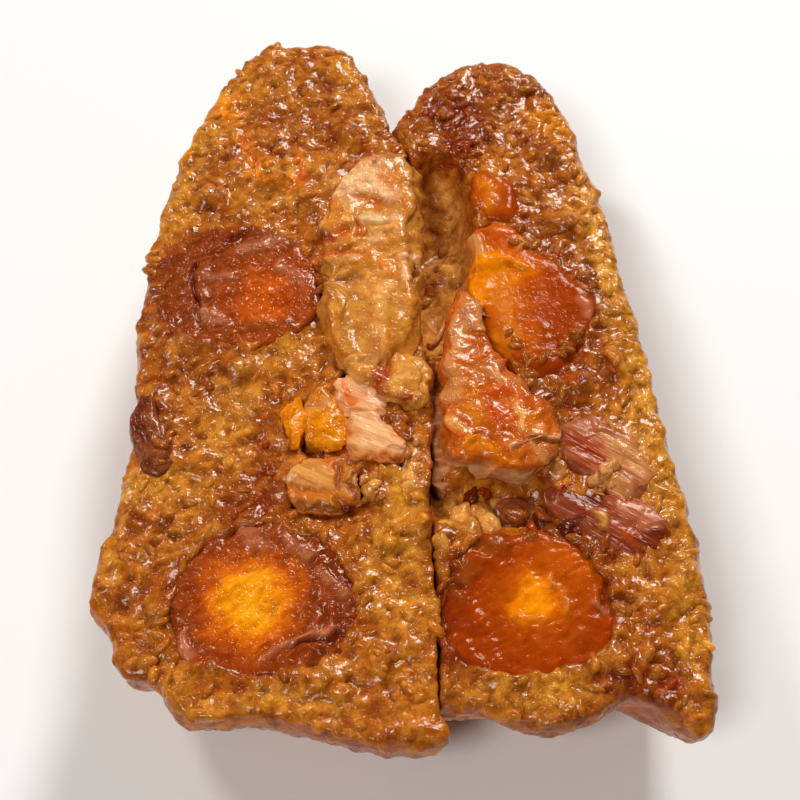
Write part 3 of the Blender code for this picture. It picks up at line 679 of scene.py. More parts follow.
# Strokes on the yolks. The mauve and rose strokes on the rims are painted sheen, standing for the whitish
# glints and lit ridges of the wet rims.
YOLK_MARKS = {
    "yolk_left_front": (
        (-37.2, -51, -37.4, -43.3, 0.8, 0.2, "maroon"), (-37.4, -43.3, -33.8, -38.4, 0.7, 0.3, "maroon"),
        (-33.8, -38.4, -26.3, -35.7, 0.7, 0.3, "maroon"), (-25.4, -36.8, -22.8, -39.9, 1.2, 0.3, "mauve_and_sheen"),
        (-19.2, -39.1, -14.5, -42.1, 1, 0.3, "mauve_and_sheen"), (-13.1, -45.7, -8.9, -50.3, 0.8, 0.4, "mauve_and_sheen"),
        (-32.4, -61.3, -24.3, -63, 1.7, -0.3, "rust"), (-32, -45.9, -30.1, -44.7, 1.5, 0, "copper"),
        (-17.1, -42.9, -16.3, -48.4, 1.3, 0, "copper"), (-17.5, -59.6, -9.6, -56, 0.5, -0.6, "maroon"),
        (-21.9, -61.3, -11.2, -55.3, 0.5, 0.3, "rose_and_sheen"), (-34.5, -57.4, -33.1, -60.1, 0.7, 0.3, "rose_and_sheen"),
    ),
    "yolk_left_back": (
        (-37.1, 18.5, -37.5, 11.1, 0.5, -0.8, "maroon"), (-37.5, 11.1, -36.4, 5.7, 0.5, -0.8, "maroon"),
        (-33, 24.1, -29.7, 25.1, 1.1, -0.3, "maroon"), (-28.4, 21.8, -21.5, 23.7, 1.5, 0.4, "mauve_and_sheen"),
        (-21.6, 18, -17.8, 14.3, 1.3, 0.5, "rose_and_sheen"), (-34.7, 15.2, -31, 15.2, 0.9, 0.4, "mauve_and_sheen"),
        (-18.4, 21.8, -16.5, 19.4, 0.9, 0, "rust"), (-14.6, 14.3, -15.2, 10.7, 0.9, 0, "maroon"),
        (-44.2, 10.7, -40.4, 13.4, 1.7, -0.2, "brown"), (-35.2, 6.6, -31.5, 4.8, 1.5, 0.4, "mauve_and_sheen"),
        (-26.8, 3.9, -19.7, 4.4, 1.1, 0.2, "brown"), (-21.7, 10.7, -18.8, 9.3, 1.5, 0, "rust"),
    ),
    "yolk_right_front": (
        (10.2, -43.3, 16.9, -39.5, 1.7, 0.5, "brown"), (8.5, -48.4, 10, -50.3, 0.7, 0.6, "brown"),
        (8.6, -44.5, 7.2, -50, 1.4, 0.4, "maroon"), (9.8, -46.4, 14, -42.8, 1, 0.5, "brown"),
        (6.5, -51, 7.4, -57.4, 1.1, 0, "maroon"), (12.5, -42.9, 16.4, -44, 1.5, 0.2, "rust"),
        (26.7, -42.1, 31.4, -45.5, 2.8, 0, "copper"), (25, -45.3, 27, -48.4, 0.2, 0.5, "gold"),
        (27, -48.4, 27.1, -52.1, 0.2, 0.5, "gold"), (33.7, -45.1, 31.6, -52.4, 0.6, -0.3, "maroon"),
        (30.8, -50.3, 32.3, -52.4, 0.5, 0.4, "mauve_and_sheen"), (9.6, -57.4, 22.2, -62.3, 2.3, 0, "rust"),
        (19.3, -53, 23.8, -53.5, 0.8, 0.3, "amber"),
    ),
    "yolk_right_back": (
        (15.1, 27.5, 21.5, 26.6, 1.7, 0.2, "orange"), (14.2, 24.2, 14.7, 20.4, 1.1, 0.4, "tan"),
        (22, 24.7, 22.7, 22.8, 0.9, 0.7, "blond"), (15, 18.3, 19.3, 19, 1.7, 0.7, "flame"),
        (19.3, 19, 22.3, 18.1, 1.3, 0.5, "flame"), (14.5, 13.7, 15.5, 9.2, 0.9, 0.5, "flame"),
        (17.8, 13.7, 20, 3.6, 2.3, 0, "amber"), (17.8, 2.5, 19.7, -5.6, 1.7, 0.1, "amber"),
        (21.7, 10.3, 23, -0.8, 2.6, 0, "copper"), (28.3, 12.6, 29.5, 0.3, 3.4, -0.1, "rust"),
        (34.1, 18.1, 34.8, 5.8, 0.8, -0.3, "maroon"), (31.8, 17.2, 33.1, 13.9, 0.8, 0.3, "rose_and_sheen"),
        (32.5, 10.3, 33.4, 6.2, 0.6, 0.3, "rose_and_sheen"), (24, 22.8, 25.7, 20.4, 1.1, 0, "rust"),
    ),
    "yolk_crumb_middle": (
        (-15.8, -12.2, -15.7, -19.2, 1.1, -0.3, "gold"), (-15.2, -13.8, -12.1, -13.2, 0.8, -0.2, "tan"),
        (-13.2, -10.1, -13.2, -10.9, 1.1, 0.2, "gold"),
    ),
    "yolk_scrap_right": (
        (15.9, 37.3, 17.2, 31.4, 0.9, 0.1, "amber"), (20.4, 36.8, 21.3, 31.4, 1.3, 0.1, "rust"),
    ),
}
for number, (node, finish, heart, wrinkle, ring, lift, stops) in enumerate(YOLKS):
    yolk = refined(node, node + "_skin", YOLK_SKIN, 5)
    points, facing = skin_of(yolk)
    apart = points[:, :2] / MM - np.array(heart)
    away = np.hypot(apart[:, 0], apart[:, 1] * 0.82) * MM
    away += 0.7 * MM * mottle(points, 4 * MM, number + 40) + 0.7 * MM * mottle(points, 1.3 * MM, number + 50)
    lines = streaks(points, 38, 2.6 * MM, 0.7 * MM, number + 60)
    turns = np.arctan2(apart[:, 1], apart[:, 0])
    rings = mottle(np.stack([away / (1.1 * MM), turns * 2.2, np.zeros(len(away))], 1), 1.0, number + 70)
    edge = rising(away, 8 * MM, 3 * MM) * ring
    rise = wrinkle * lines + 0.55 * edge * rings + 0.5 * wrinkle * mottle(points, 0.9 * MM, number + 80)
    shape = swollen(points, facing, 1.1 * MM, 0.5 * MM) + torn(points, 5 * MM, 1.6 * MM, number + 90)
    if node in SHARP:
        shape = cut_to(points, SHARP[node]) + torn(points, 2 * MM, 0.9 * MM, number + 90)
        shape[:, 2] -= 0.5 * MM
    shape = levelled(shape, 0.45)
    shape[:, 2] += lift * MM * upward(facing, 1.5)
    colours = layered(away, stops) * (1 + 0.20 * lines + 0.18 * rings * edge)[:, None]
    colours, swell = marked(points, colours, YOLK_MARKS.get(node, ()), number + 100)
    shape[:, 2] += swell * upward(facing)
    dressed(yolk, shape + facing * (rise * MM)[:, None], facing, colours)
    put_on(yolk, finish, "salted_yolk", node)

# Braised pork
# Pork belly stewed soft: a glossy bolster of skin and fat at the seam, jelly below it, and a
# block across the seam. Golden skin, pale fibres at the cut, dark glaze at the edges.
PORK_SKIN = 0.45 * MM
JELLY_SKIN = 0.4 * MM
skin_finish = wet_food(
    "pork_skin_and_fat", glow=0.40, reach=1.0 * MM, roughness=0.16, gloss=0.20, speckle=420.0,
    dull=(0.80, 0.64, 0.46), fine=1100.0, depth=0.30 * MM)

BOLSTER_MARKS = (
    (-2.3, 42, 2.3, 42, 2.3, 0, "olive"), (2.3, 39.5, 3.2, 11, 1.9, 0, "gold"),
    (-9.1, 40, -10.4, 38, 0.6, -0.5, "brown"), (-6.2, 38, -9.2, 34.2, 3, 0.2, "pink"),
    (-11.4, 32.8, -7, 31.4, 0.5, -0.3, "copper"), (-4.9, 35.1, -1.5, 32.1, 1.7, 0.2, "pink"),
    (-9.3, 32.9, -11.6, 32.1, 1.1, 0.2, "pink"), (-7.5, 36.6, -9.4, 34.1, 0.9, 0.3, "cream"),
    (-4.7, 43, -10.4, 38, 0.7, 0.2, "red"), (-10.4, 38, -15.2, 30, 0.8, 0.2, "red"),
    (-15.2, 30.2, -16.1, 26.8, 0.4, 0, "red"), (-13, 29.7, -13.8, 26.4, 0.8, 0.1, "blond"),
    (-15.2, 24.6, -12.8, 22.6, 1.3, -0.1, "maroon"), (-11.7, 30.7, -12.3, 30.2, 0.8, 0, "orange"),
    (-9.3, 29.2, -8.9, 28.8, 1.1, 0.5, "blond"), (-10.2, 26.8, -10.5, 26.4, 0.9, 0.4, "blond"),
    (-6.3, 27.6, -3.5, 27.1, 1.1, 0.8, "cream"), (-1.1, 27.1, -0.7, 26.6, 1.1, 0.5, "pink"),
    (-4.8, 30.2, -3, 30, 0.9, -0.3, "copper"), (-7.8, 26.4, -7, 23, 1, -0.6, "copper"),
    (-10.1, 24.7, -11.2, 23.5, 0.9, -0.4, "copper"), (-4, 24.2, 0.4, 24.5, 0.9, 0.5, "blond"),
    (-8.1, 21.2, -5.5, 21.2, 0.9, 0.6, "blond"), (-3.7, 22.1, -3.3, 21.9, 0.9, 0.4, "pink"),
    (-1.6, 21.6, 0.6, 22.6, 0.8, 0.3, "gold"), (-15.8, 24.7, -15.6, 21.2, 0.9, -0.3, "maroon"),
    (-15.2, 22.8, -12.5, 22.1, 0.8, -0.3, "red"), (-14.2, 19.8, -7.7, 18.8, 1, -0.6, "copper"),
    (-13.3, 16.1, -10.2, 17.4, 1.5, 0.4, "olive"), (-9.1, 17.4, -8.9, 17.2, 0.8, 0.5, "pink"),
    (-6.2, 16.7, -2.9, 15.1, 1.5, 0.5, "amber"), (-8.4, 19.3, -2.7, 17.4, 0.3, 0.5, "blond"),
    (-2.7, 17.4, 0.7, 19.3, 0.3, 0.5, "blond"), (0.5, 15.4, 0.9, 12.2, 0.4, 0.5, "pink"),
    (2, 16.5, 2, 11.5, 0.4, -0.8, "brown"), (4, 14.7, 4.3, 11.9, 0.5, 0.5, "blond"),
    (-8.3, 11.9, -2.9, 14, 0.4, 0.6, "blond"), (-10.3, 12.2, -6.5, 12.6, 0.7, -0.5, "brown"),
    (-3.2, 10.6, -2.1, 1, 2.6, 0.2, "blond"), (-8.6, 2, -7.6, -4.6, 1.9, 0.2, "gold"),
    (-6, 4, -4, -2.8, 1.3, 0.2, "tan"), (-1, 3.5, 0.6, -1, 1.5, 0.1, "amber"),
    (3, 6, 3.4, 0, 1.2, 0.1, "gold"), (-0.7, 8.8, 0.4, 2.1, 1.5, 0.1, "gold"),
    (-7.2, 8.8, -6.7, 2.1, 1.5, 0.1, "gold"), (-8.6, 7.7, -8.9, 2.1, 0.8, -0.4, "olive"),
    (0.7, 17.4, 2.2, 18.4, 0.8, 0.4, "pink"),
)
bolster = refined("pork_skin_left", "pork_skin_left_cut", PORK_SKIN, 7)
points, facing = skin_of(bolster)
lumps = mottle(points, 4.5 * MM, 91)
lines = streaks(points, -48, 4.0 * MM, 0.55 * MM, 92)
colours = brushed(np.tile(paint(206, 136, 56), (len(points), 1)), TINTS["amber"], 0.2 + 0.8 * lumps)
colours, swell = marked(points, colours, BOLSTER_MARKS, 94)
colours *= (1 + 0.16 * lines + 0.14 * mottle(points, 0.9 * MM, 95))[:, None]
rise = 0.40 * lumps + 0.16 * lines + 0.30 * mottle(points, 1.3 * MM, 93)
shape = swollen(points, facing, 0.9 * MM, 0.3 * MM) + torn(points, 4 * MM, 1.6 * MM, 96)
shape += facing * (rise * MM)[:, None]
low_end = falling(points[:, 1], 9 * MM, 8 * MM) ** 1.5
shape[:, 1] -= 5.0 * MM * low_end * (0.8 + 0.9 * mottle(points * [1, 0, 0], 3.5 * MM, 107))
shape[:, 2] -= 1.2 * MM * low_end * upward(facing)
shape[:, 2] += swell * upward(facing)
dressed(bolster, shape, facing, colours)
put_on(bolster, skin_finish, "pork_fat", "pork_skin_left")

JELLY_MARKS = (
    (-8.5, 0.7, -7.8, -1.5, 2.3, 0.5, "olive"), (-8.5, -3, -5.6, -3.7, 1.1, 0.7, "blond"),
    (-6.7, -0.2, -6, -1.5, 1.1, 0.3, "gold"), (-11.3, -3, -9.5, -6, 0.7, -1.6, "maroon"),
    (-3.9, 1.7, -3.2, -6.3, 0.9, -0.4, "brown"), (-1.4, 0.7, -1.8, -3.7, 1.3, 0.3, "amber"),
    (-2.5, -2, -2.1, -4.1, 0.6, 0.2, "red"), (0.7, 1.5, 1.8, -1.5, 1.3, 0.3, "gold"),
    (-4.2, -7.5, -3.5, -8.8, 0.8, 0.2, "red"), (2.5, -5.4, 3.5, -7.1, 1.5, 0.6, "gold"),
    (4.2, -9, 4.9, -12.2, 1.3, 0.5, "blond"), (1.7, -11.3, 0.7, -12.6, 1.1, -0.3, "rust"),
    (3.2, -2.8, 4.2, -4.1, 0.9, 0.5, "gold"), (-3.4, -0.4, -2.9, -12.6, 1.4, -0.2, "rust"),
    (3.4, -4, 4, -10, 1.6, 0.3, "gold"),
)
jelly = refined("pork_fat_left", "pork_fat_left_cut", JELLY_SKIN, 5)
points, facing = skin_of(jelly)
lumps = mottle(points, 2.6 * MM, 97)
colours = brushed(np.tile(paint(224, 152, 62), (len(points), 1)), TINTS["blond"], 0.4 + 0.8 * lumps)
colours, swell = marked(points, colours, JELLY_MARKS, 98)
rise = 0.5 * lumps + 0.35 * mottle(points, MM, 99)
shape = swollen(points, facing, 0.6 * MM) + torn(points, 4 * MM, 1.5 * MM, 100)
shape += facing * (rise * MM)[:, None]
shape[:, 0] += 1.5 * MM * rising(points[:, 0], 0, 3 * MM)
shape[:, 2] += swell * upward(facing)
dressed(jelly, shape, facing, colours)
put_on(jelly, skin_finish, "pork_fat", "pork_fat_left")

BELLY_MARKS = (
    (12.6, 9.2, 13.1, 2.5, 1.3, 0.2, "tan"), (11, 2.5, 9.7, -12.5, 1.2, 0.1, "tan"),
    (11.8, 5.1, 12.4, 2, 0.6, 0.5, "mauve_and_sheen"), (15.4, -6.6, 18.4, -9.6, 1.7, 0.2, "tan"),
    (12.1, -10.8, 12.7, -16.7, 1.7, 0.2, "amber"), (15.6, -12.9, 18.6, -12.1, 1.4, 0.3, "scarlet"),
    (15.8, -15.7, 18.4, -18.3, 1.5, 0.3, "scarlet"), (20, -14.6, 21.2, -19.5, 0.9, 0.5, "blond"),
    (22.7, -16.7, 23.2, -19.9, 1.3, 0.2, "amber"), (9.9, -18.3, 10.6, -19.9, 0.9, 0.3, "blond"),
    (8.9, -20.3, 11.9, -22.5, 0.9, 0.4, "orange"), (11.9, -22.3, 16.9, -24.3, 0.9, 0.3, "flame"),
    (17.8, -24.7, 19.3, -25.1, 0.8, 0.2, "flame"), (19.3, -22.7, 25.9, -19.9, 0.4, 0.5, "pink"),
    (20.4, -21.9, 25.2, -20.7, 0.6, -0.3, "brown"), (23.7, -23.1, 24.4, -26.7, 1.1, 0.4, "tan"),
)
belly = refined("pork_belly_right", "pork_belly_right_cut", PORK_SKIN, 6)
points, facing = skin_of(belly)
lumps = mottle(points, 4 * MM, 101)
lines = streaks(points, 75, 4 * MM, 0.8 * MM, 102)
colours = brushed(np.tile(paint(198, 98, 22), (len(points), 1)), TINTS["copper"], 0.2 + 0.7 * lumps)
colours, swell = marked(points, colours, BELLY_MARKS, 103)
wall = np.clip(-facing[:, 1] * 1.6 - 0.35, 0, 1) * falling(points[:, 2], 28.5 * MM, 2 * MM)
colours = brushed(colours, paint(222, 156, 104), wall)
bars = soft_spots(points, ((11.8, -25, 1.2, 4, 1.0), (20.5, -25, 1.2, 3, 0.6)))
colours = brushed(colours, paint(240, 206, 150), bars * wall)
west = np.clip(-facing[:, 0] * 1.4 - 0.3, 0, 1) * falling(points[:, 2], 27 * MM, 3 * MM)
colours = brushed(colours, TINTS["tan"], 0.8 * west)
colours *= (1 + 0.14 * lines + 0.14 * mottle(points, 0.9 * MM, 104))[:, None]
rise = 0.26 * lumps + 0.14 * lines + 0.36 * mottle(points, 1.1 * MM, 105)
shape = swollen(levelled(points, 0.35), facing, 0.9 * MM, 0.6 * MM) + torn(points, 4 * MM, 1.8 * MM, 106)
shape += facing * (rise * MM)[:, None]
shape[:, 2] += swell * upward(facing)
dressed(belly, shape, facing, colours)
put_on(belly, skin_finish, "pork_fat", "pork_belly_right")

# Lean meat, mushroom and shrimp
# Strings of braised lean pork, torn across the cut, with soaked mushroom and a dried shrimp.
# The fibres are fine ridges drawn out along each piece, pale between darker seams.
LEAN_SKIN = 0.35 * MM
left_lean = wet_food(
    "lean_pork_left", glow=0.30, reach=0.8 * MM, roughness=0.26, gloss=0.08, speckle=900.0,
    dull=(0.74, 0.58, 0.42), fine=1500.0, depth=0.22 * MM, lie=-27.0)
right_lean = wet_food(
    "lean_pork_right", glow=0.25, reach=0.7 * MM, roughness=0.22, gloss=0.12, speckle=900.0,
    dull=(0.66, 0.50, 0.40), fine=1500.0, depth=0.24 * MM, lie=-34.0)
groove_lean = wet_food(
    "lean_pork_groove", glow=0.30, reach=0.8 * MM, roughness=0.30, gloss=0.08, speckle=900.0,
    dull=(0.70, 0.50, 0.36), fine=1500.0, depth=0.20 * MM, lie=8.0)
cap_finish = wet_food(
    "mushroom", glow=0.20, reach=0.6 * MM, roughness=0.18, gloss=0.16, speckle=600.0,
    dull=(0.62, 0.48, 0.40), fine=1200.0, depth=0.22 * MM)

# Node, slot, finish, way of the fibres in degrees, pale and deep colour, and marks.
LEAN = (
    ("lean_left_back", "lean_pork", left_lean, -32, (236, 168, 116), (204, 112, 58), (
        (-10.5, -7.3, -8.4, -8.8, 0.9, 0.2, "cream"), (-8.4, -8, -3.5, -11.8, 1.9, 0.2, "pink"),
        (-4.9, -9.7, -2.8, -12.2, 1.1, 0.1, "mauve_and_sheen"), (-9.2, -10.1, -8.3, -12.2, 0.8, -0.4, "orange"))),
    ("lean_left_middle", "lean_pork", left_lean, -27, (240, 170, 102), (206, 110, 50), (
        (-8.8, -14.7, -8.8, -22.8, 0.8, -0.3, "orange"), (-9.3, -15.9, -9.1, -16.5, 0.4, 0.4, "cream"),
        (-7.2, -15.5, -4.5, -15.5, 0.8, 0.3, "cream"), (-6.5, -17.3, -2.4, -18.4, 1.7, 0.2, "pink"),
        (-5.8, -20.4, 0, -22.4, 1.5, 0.2, "pink"),
        (-2, -22.4, 0.7, -22.4, 0.4, 0.2, "mauve_and_sheen"), (-7.8, -23.6, 0.3, -24.6, 0.7, -0.3, "orange"),
        (-0.3, -24.6, 0.7, -25, 0.6, -0.3, "brown"))),
    ("lean_left_front", "lean_pork", left_lean, -12, (206, 130, 56), (168, 76, 20), (
        (-18.5, -28, -17.8, -28.4, 0.9, 0.4, "cream"), (-16.9, -26.4, -12.6, -28, 1.9, 0.2, "blond"),
        (-16.4, -29.6, -13.4, -30, 0.8, 0.2, "tan"), (-12.4, -24.8, -10.4, -27.2, 1.1, -0.2, "orange"),
        (-10.6, -26, -9.9, -30, 0.8, -0.4, "brown"), (-18.4, -31.1, -9.5, -32.3, 1.1, -0.2, "amber"),
        (-17.3, -33.7, -10.8, -34.6, 0.9, -0.5, "brown"), (-10.2, -33.1, -8, -34.2, 1.1, -0.7, "maroon"),
        (-7.6, -25.6, -6.7, -32.3, 1.3, -0.3, "brown"), (-8.4, -26.4, -7.4, -28, 0.8, 0.3, "gold"))),
    ("lean_groove_right", "lean_pork", groove_lean, 4, (222, 158, 104), (164, 92, 44), ()),
    ("lean_right_back", "lean_pork", right_lean, -38, (176, 98, 58), (120, 44, 20), (
        (29.9, -16.3, 31.5, -18, 1.3, 0.2, "mauve_and_sheen"), (27.5, -23.4, 30.4, -25.6, 1.5, -0.2, "maroon"),
        (32.5, -18.8, 34, -22.8, 1.7, 0.1, "rose_and_sheen"), (34.8, -20.4, 37, -22.8, 1.5, 0.1, "tan"),
        (34.8, -26, 36, -28.8, 1.9, 0.5, "tan"), (30, -20, 34, -25, 1.6, 0, "red"),
        (37.6, -21.6, 41.4, -26.8, 1.9, 0.1, "tan"), (27.9, -18, 26.8, -20, 0.6, -0.8, "maroon"),
        (29.6, -28, 34.5, -31, 0.4, 0.5, "blond"))),
    ("lean_right_front", "lean_pork", right_lean, -30, (158, 72, 40), (100, 30, 8), (
        (26.2, -30.2, 33.1, -32.3, 1.5, -0.2, "maroon"), (27.9, -28, 26.2, -28.8, 0.6, 0.5, "amber"),
        (37.5, -33.9, 41.4, -36.2, 1.7, 0.2, "rose_and_sheen"), (36.7, -38.1, 41.9, -40.3, 1.5, 0, "rust"),
        (33.2, -35.6, 33.4, -36.9, 0.9, 0.7, "blond"), (39.9, -39.6, 42.9, -38.1, 0.8, 0.2, "maroon"),
        (29, -36.2, 26.5, -36.9, 1.1, -0.3, "maroon"))),
    ("mushroom_left", "mushroom", cap_finish, 80, (150, 76, 36), (70, 24, 10), (
        (-45, -13, -43.8, -20, 1.4, -0.3, "maroon"), (-40.3, -12.5, -40, -17, 0.8, 0.6, "mauve_and_sheen"))),
    ("mushroom_bit_right", "mushroom", cap_finish, 60, (104, 40, 22), (60, 20, 12), ()),
    ("shrimp_right", "lean_pork", right_lean, 40, (150, 78, 38), (84, 30, 16), ()),
)
for number, (node, slot_name, finish, angle, light, deep, marks) in enumerate(LEAN):
    meat = refined(node, node + "_cut", LEAN_SKIN, 5)
    points, facing = skin_of(meat)
    strings = streaks(points, angle, 6 * MM, 0.5 * MM, number + 110)
    bundles = streaks(points, angle, 8 * MM, 1.5 * MM, number + 130)
    seam = 0.20 - 0.45 * bundles - 0.45 * strings
    colours = brushed(np.tile(paint(*light), (len(points), 1)), paint(*deep), seam)
    colours, swell = marked(points, colours, marks, number + 190)
    rise = 0.16 * strings + 0.20 * bundles + 0.12 * mottle(points, 0.8 * MM, number + 150)
    shape = swollen(points, facing, 0.5 * MM) + torn(points, 4.5 * MM, 1.4 * MM, number + 170)
    if node in SHARP:
        shape = cut_to(points, SHARP[node]) + torn(points, 1.6 * MM, 0.5 * MM, number + 170)
    if "right" in node and "groove" not in node:
        shape = swollen(shape, facing, 1.2 * MM, 1.1 * MM) + torn(points, 4 * MM, 1.4 * MM, number + 180)
    shape = levelled(shape, 0.5) + facing * (rise * MM)[:, None]
    if "left" in node:
        shape[:, 2] -= 0.3 * MM
    shape[:, 2] += swell * upward(facing)
    dressed(meat, shape, facing, colours)
    put_on(meat, finish, slot_name, node)

# Loose grains, bits and strands
# Plump grains and glazed crumbs that came free in the cut lie in its hollows, clear as amber,
# and thin strands of meat and skin trail over it. Each grain is a low sphere, drawn out.
LOOSE = 290  # loose grains on each half
RAGGED = 1.1  # how far a grain pressed over a rim strays, in mm
RIM_SHADE = 0.35  # how much of the common rice brown those grains take


def grain_form(round_parts):
    """One grain a metre long, along X: a low sphere, drawn out at one end and bent a little."""
    form = bmesh.new()
    bmesh.ops.create_uvsphere(form, u_segments=round_parts, v_segments=round_parts - 2, radius=0.5)
    for point in form.verts:
        point.co.x *= 1 - 0.4 * point.co.z
        point.co.y -= 0.35 * point.co.z**2
    bmesh.ops.rotate(form, matrix=Matrix.Rotation(np.pi / 2, 3, "Y"), verts=form.verts)
    points = np.array([point.co for point in form.verts])
    faces = [[point.index for point in face.verts] for face in form.faces]
    form.free()
    return points, faces


def scattered(name, places, rough=0.0):
    """One mesh of many grains. A place is centre, along, up, the three sizes and a colour."""
    points, faces = grain_form(14 if rough else 8)
    every, rings, tints = [], [], []
    for count, (centre, along, up, sizes, colour) in enumerate(places):
        turn = np.stack([along, np.cross(up, along), up])
        grain = points * (1 + rough * mottle(points * 2.5 + count, 1.0, 72))[:, None] if rough else points
        every.append(grain * np.array(sizes) @ turn + centre)
        rings.extend([[corner + count * len(points) for corner in face] for face in faces])
        tints.append(np.tile(colour, (len(points), 1)))
    mesh = bpy.data.meshes.new(name)
    mesh.from_pydata(np.concatenate(every).tolist(), [], rings)
    form = bmesh.new()
    form.from_mesh(mesh)
    bmesh.ops.recalc_face_normals(form, faces=form.faces)
    form.to_mesh(mesh)
    form.free()
    mesh.polygons.foreach_set("use_smooth", np.ones(len(mesh.polygons), bool))
    piece = placed(name, mesh)
    reshape(piece, skin_of(piece)[0])
    stain(piece, np.concatenate(tints))
    return piece


grain_finish = wet_food(
    "loose_grain", glow=0.35, reach=0.8 * MM, roughness=0.15, gloss=0.20, speckle=480.0,
    dull=(0.62, 0.44, 0.28), fine=1400.0, depth=0.26 * MM)
for node, points, facing, colours, seats, lie, seed in rice_seats:
    draw = np.random.default_rng(seed + 500)
    places = []
    level = np.flatnonzero((points[seats, 2] > 22 * MM) & (facing[seats, 2] > 0.85))
    for choice in draw.choice(level, LOOSE, replace=False):
        seat = seats[choice]
        along, across, tone = lie[choice]
        up = facing[seat]
        tilt = draw.uniform(-0.35, 0.35)
        along = along * np.cos(tilt) + up * np.sin(tilt)
        up = np.cross(along, across)
        up *= np.sign(np.dot(up, facing[seat]))
        sizes = (GRAIN_LENGTH * draw.uniform(0.7, 1.1), GRAIN_WIDTH * draw.uniform(0.7, 1.0), 1.6 * MM)
        centre = points[seat] - facing[seat] * draw.uniform(0.35, 0.8) * MM
        places.append((centre, along, up, sizes, colours[seat] * draw.uniform(1.0, 1.2)))
    put_on(scattered(node + "_loose_grains", places), grain_finish, "sticky_rice")


def resting(x, y):
    """The highest point of the solids at a place given in mm."""
    return solids_skin.ray_cast(Vector((x * MM, y * MM, 0.06)), Vector((0, 0, -1)))[0].z


def strewn(rows, seed):
    """Places for grains given as x, y, height over the solids, length, width and tint, in mm."""
    draw = np.random.default_rng(seed)
    places = []
    for x, y, over, long, wide, tint in rows:
        turn = draw.uniform(0, np.pi)
        lean = draw.uniform(-0.3, 0.3)
        along = np.array([np.cos(turn) * np.cos(lean), np.sin(turn) * np.cos(lean), np.sin(lean)])
        up = np.array([-np.cos(turn) * np.sin(lean), -np.sin(turn) * np.sin(lean), np.cos(lean)])
        centre = (x * MM, y * MM, resting(x, y) + (over - 0.6) * MM)
        sizes = (long * MM, wide * MM, wide * 0.8 * MM)
        places.append((centre, along, up, sizes, TINTS[tint] * draw.uniform(0.9, 1.1)))
    return places


solids_skin = web_of(frame["nodes"])
PIT_GRAINS = (
    (10.2, -32.7, 0.6, 5.4, 3.6, "blond"), (13.6, -31.7, 0.8, 6, 4, "gold"),
    (17.1, -28.9, 0.6, 5, 3.4, "blond"), (15.2, -34.6, 0.6, 5.2, 3.6, "blond"),
    (11.8, -36.4, 0.4, 5.4, 3.4, "gold"), (8.6, -29.6, 0.4, 5, 3.2, "olive"),
    (8.4, -35.5, 0.3, 4.6, 3, "gold"), (19.6, -33.2, 0.5, 4.4, 3, "brown"),
    (21.6, -38.6, 0.2, 4.2, 2.6, "brown"), (25.6, -36.6, 0.3, 4.6, 2.8, "brown"),
    (7, -39.5, 0.2, 4.4, 2.8, "gold"), (10, -40, 0.1, 4.4, 2.8, "amber"),
    (-5.4, -27.6, 0.3, 3.8, 2.2, "gold"), (-5.2, -30.8, 0.3, 3.8, 2.2, "olive"),
    (-4.6, -29.2, 0.4, 3.6, 2.2, "blond"), (-6.4, -25.4, 0.3, 3.8, 2.2, "brown"),
    (-9.4, -14.2, 0.8, 3.6, 2.4, "amber"), (2.6, -11.8, 0.3, 5, 3.4, "gold"),
    (23.2, -31.4, 0.4, 4.6, 2.8, "tan"), (8.9, 31.5, 0.2, 4.6, 2.6, "olive"),
    (9.8, 27, 0.2, 4.6, 2.6, "olive"), (8.6, 35.5, 0.2, 4.4, 2.6, "gold"),
    (10.4, 22.5, 0.2, 4.4, 2.4, "olive"), (5.2, 20, 0.2, 4.6, 2.6, "gold"),
)
put_on(scattered("pit_plump_grains", strewn(PIT_GRAINS, 61), 0.3), grain_finish, "sticky_rice")

GLAZED_BITS = (
    (12.2, -28.3, 0.5, 4.2, 2.6, "maroon"), (14, -27.6, 0.4, 3.4, 2.2, "red"),
    (22.4, -34.8, 0.5, 4, 2.6, "rust"), (27.6, -36.4, 0.3, 3.8, 2.4, "maroon"),
    (24.2, -33.4, 0.3, 3.6, 2.2, "brown"), (29.4, -38.2, 0.2, 3.2, 2.2, "maroon"),
    (-8.6, -33.4, 0.2, 2.2, 1.5, "maroon"), (35, -26.4, 0.4, 3.8, 2.6, "tan"),
    (36.2, -28.4, 0.4, 3.4, 2.4, "tan"), (33.4, -27.9, 0.3, 3.2, 2.4, "tan"),
    (-40.9, 45.2, 0.2, 4.4, 1.6, "flame"), (27.6, -28.6, 0.4, 3.6, 2, "copper"),
)
put_on(scattered("glazed_bits", strewn(GLAZED_BITS, 67), 0.7), skin_finish, "pork_fat")

# Grains pressed over the rims of the fillings, as runs of corners in mm.
RIMS = (
    ((32.2, 15.8), (34.3, 9.5), (34.4, 2.1), (31.3, -3.1), (27, -6.3), (22.6, -6.9)),
    ((33, 4.5), (29.5, 0.5), (25.5, -3.5)), ((20.9, 23.6), (26.1, 20.4), (30.4, 17.8)),
    ((20, 1.1), (23.5, -5.2), (26.6, -11.5), (27.1, -17.8)), ((-4.9, 41.4), (0, 43.4)),
    ((-13.6, 17.4), (-13, 12.5)), ((38.3, -19.6), (42.8, -26.2), (44.5, -30.4)),
    ((27.8, -36.9), (34.8, -42.2), (41.7, -43.8), (46.1, -39.8)), ((-14.3, 16.2), (-14, 9.5)),
    ((-39.8, -13), (-40, -19), (-41, -25.1)), ((-4.6, -31.4), (-6.8, -34.6), (-9, -36)),
    ((1.8, -19), (2.2, -24.6)),
)


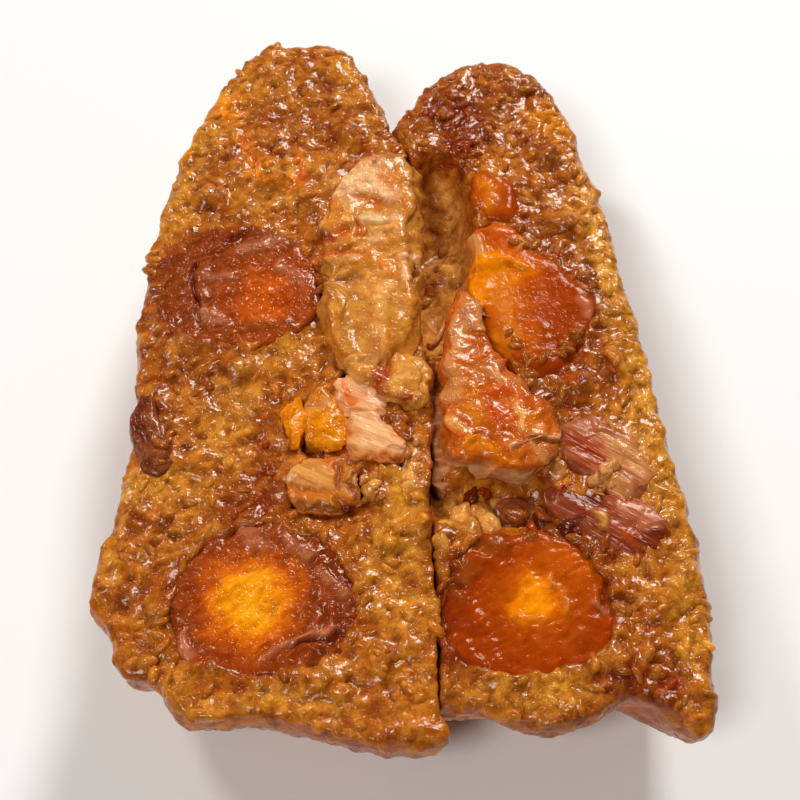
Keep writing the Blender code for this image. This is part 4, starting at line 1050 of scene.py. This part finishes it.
def pressed_over(routes, seed):
    """Grains in a ragged row along each run, in the order and form that strewn takes."""
    draw = np.random.default_rng(seed)
    rows = []
    for route in routes:
        for (x, y), (to_x, to_y) in zip(route, route[1:]):
            for share in np.arange(0, 1, 1.3 / np.hypot(to_x - x, to_y - y)):
                across = x + share * (to_x - x) + draw.uniform(-RAGGED, RAGGED)
                along = y + share * (to_y - y) + draw.uniform(-RAGGED, RAGGED)
                over, long, wide = draw.uniform(-0.2, 0.5), draw.uniform(2.8, 4.2), draw.uniform(1.5, 2.0)
                rows.append((across, along, over, long, wide, "gold"))
    return rows


def as_rice_beside(places):
    """The same places, each in the colour of the nearest rice on the cut face."""
    seats = [
        (points[seat], colours[seat]) for _, points, _, colours, every, _, _ in rice_seats
        for seat in every if points[seat][2] > 23 * MM]
    nearby = tree_of([point for point, _ in seats])
    beside = [seats[nearby.find(place[0])[1]][1] for place in places]
    return [
        (*place[:4], rice * (1 - RIM_SHADE) + RICE_MID * RIM_SHADE)
        for place, rice in zip(places, beside)]


rim_grains = scattered("rim_grains", as_rice_beside(strewn(pressed_over(RIMS, 83), 84)))
put_on(rim_grains, grain_finish, "sticky_rice")

# Thin strands: name, half width in mm, tint and run of corners in mm.
STRANDS = (
    ("pit_strand", 0.22, "orange", ((18.8, -35.4), (16.9, -37.6), (14.9, -39.4), (12.3, -41.9),
        (10.6, -44.1))),
    ("groove_strand_long", 0.50, "tan", ((5.2, 5.4), (6.4, 7.2), (7.3, 9.4), (8.3, 12.9), (10.4, 16.2))),
    ("groove_strand_short", 0.40, "blond", ((7.6, 3.8), (8.0, 6.6), (9.2, 9.6))),
    ("meat_strand", 0.18, "tan", ((26.4, -28.2), (29.6, -28.4), (32.0, -29.8), (34.2, -31.2))),
    ("rind_strand", 0.16, "tan", ((18.8, -23.4), (21.4, -22.2), (23.8, -21.4), (26.2, -19.8))),
)
for name, thick, tint, route in STRANDS:
    line = bpy.data.curves.new(name, "CURVE")
    line.dimensions = "3D"
    line.bevel_depth = thick * MM
    line.bevel_resolution = 2
    line.use_fill_caps = True
    path = line.splines.new("NURBS")
    path.points.add(len(route) - 1)
    path.use_endpoint_u = True
    path.order_u = 3
    for point, (x, y) in zip(path.points, route):
        point.co = (x * MM, y * MM, resting(x, y) + (thick + 0.35) * MM, 1)
    drawn = placed(name + "_path", line)
    graph = bpy.context.evaluated_depsgraph_get()
    mesh = bpy.data.meshes.new_from_object(drawn.evaluated_get(graph))
    bpy.data.objects.remove(drawn)
    strand = placed(name, mesh)
    points, facing = skin_of(strand)
    reshape(strand, points)
    stain(strand, TINTS[tint] * (1 + 0.2 * mottle(points, 1.2 * MM, 71))[:, None])
    put_on(strand, skin_finish, "pork_fat")
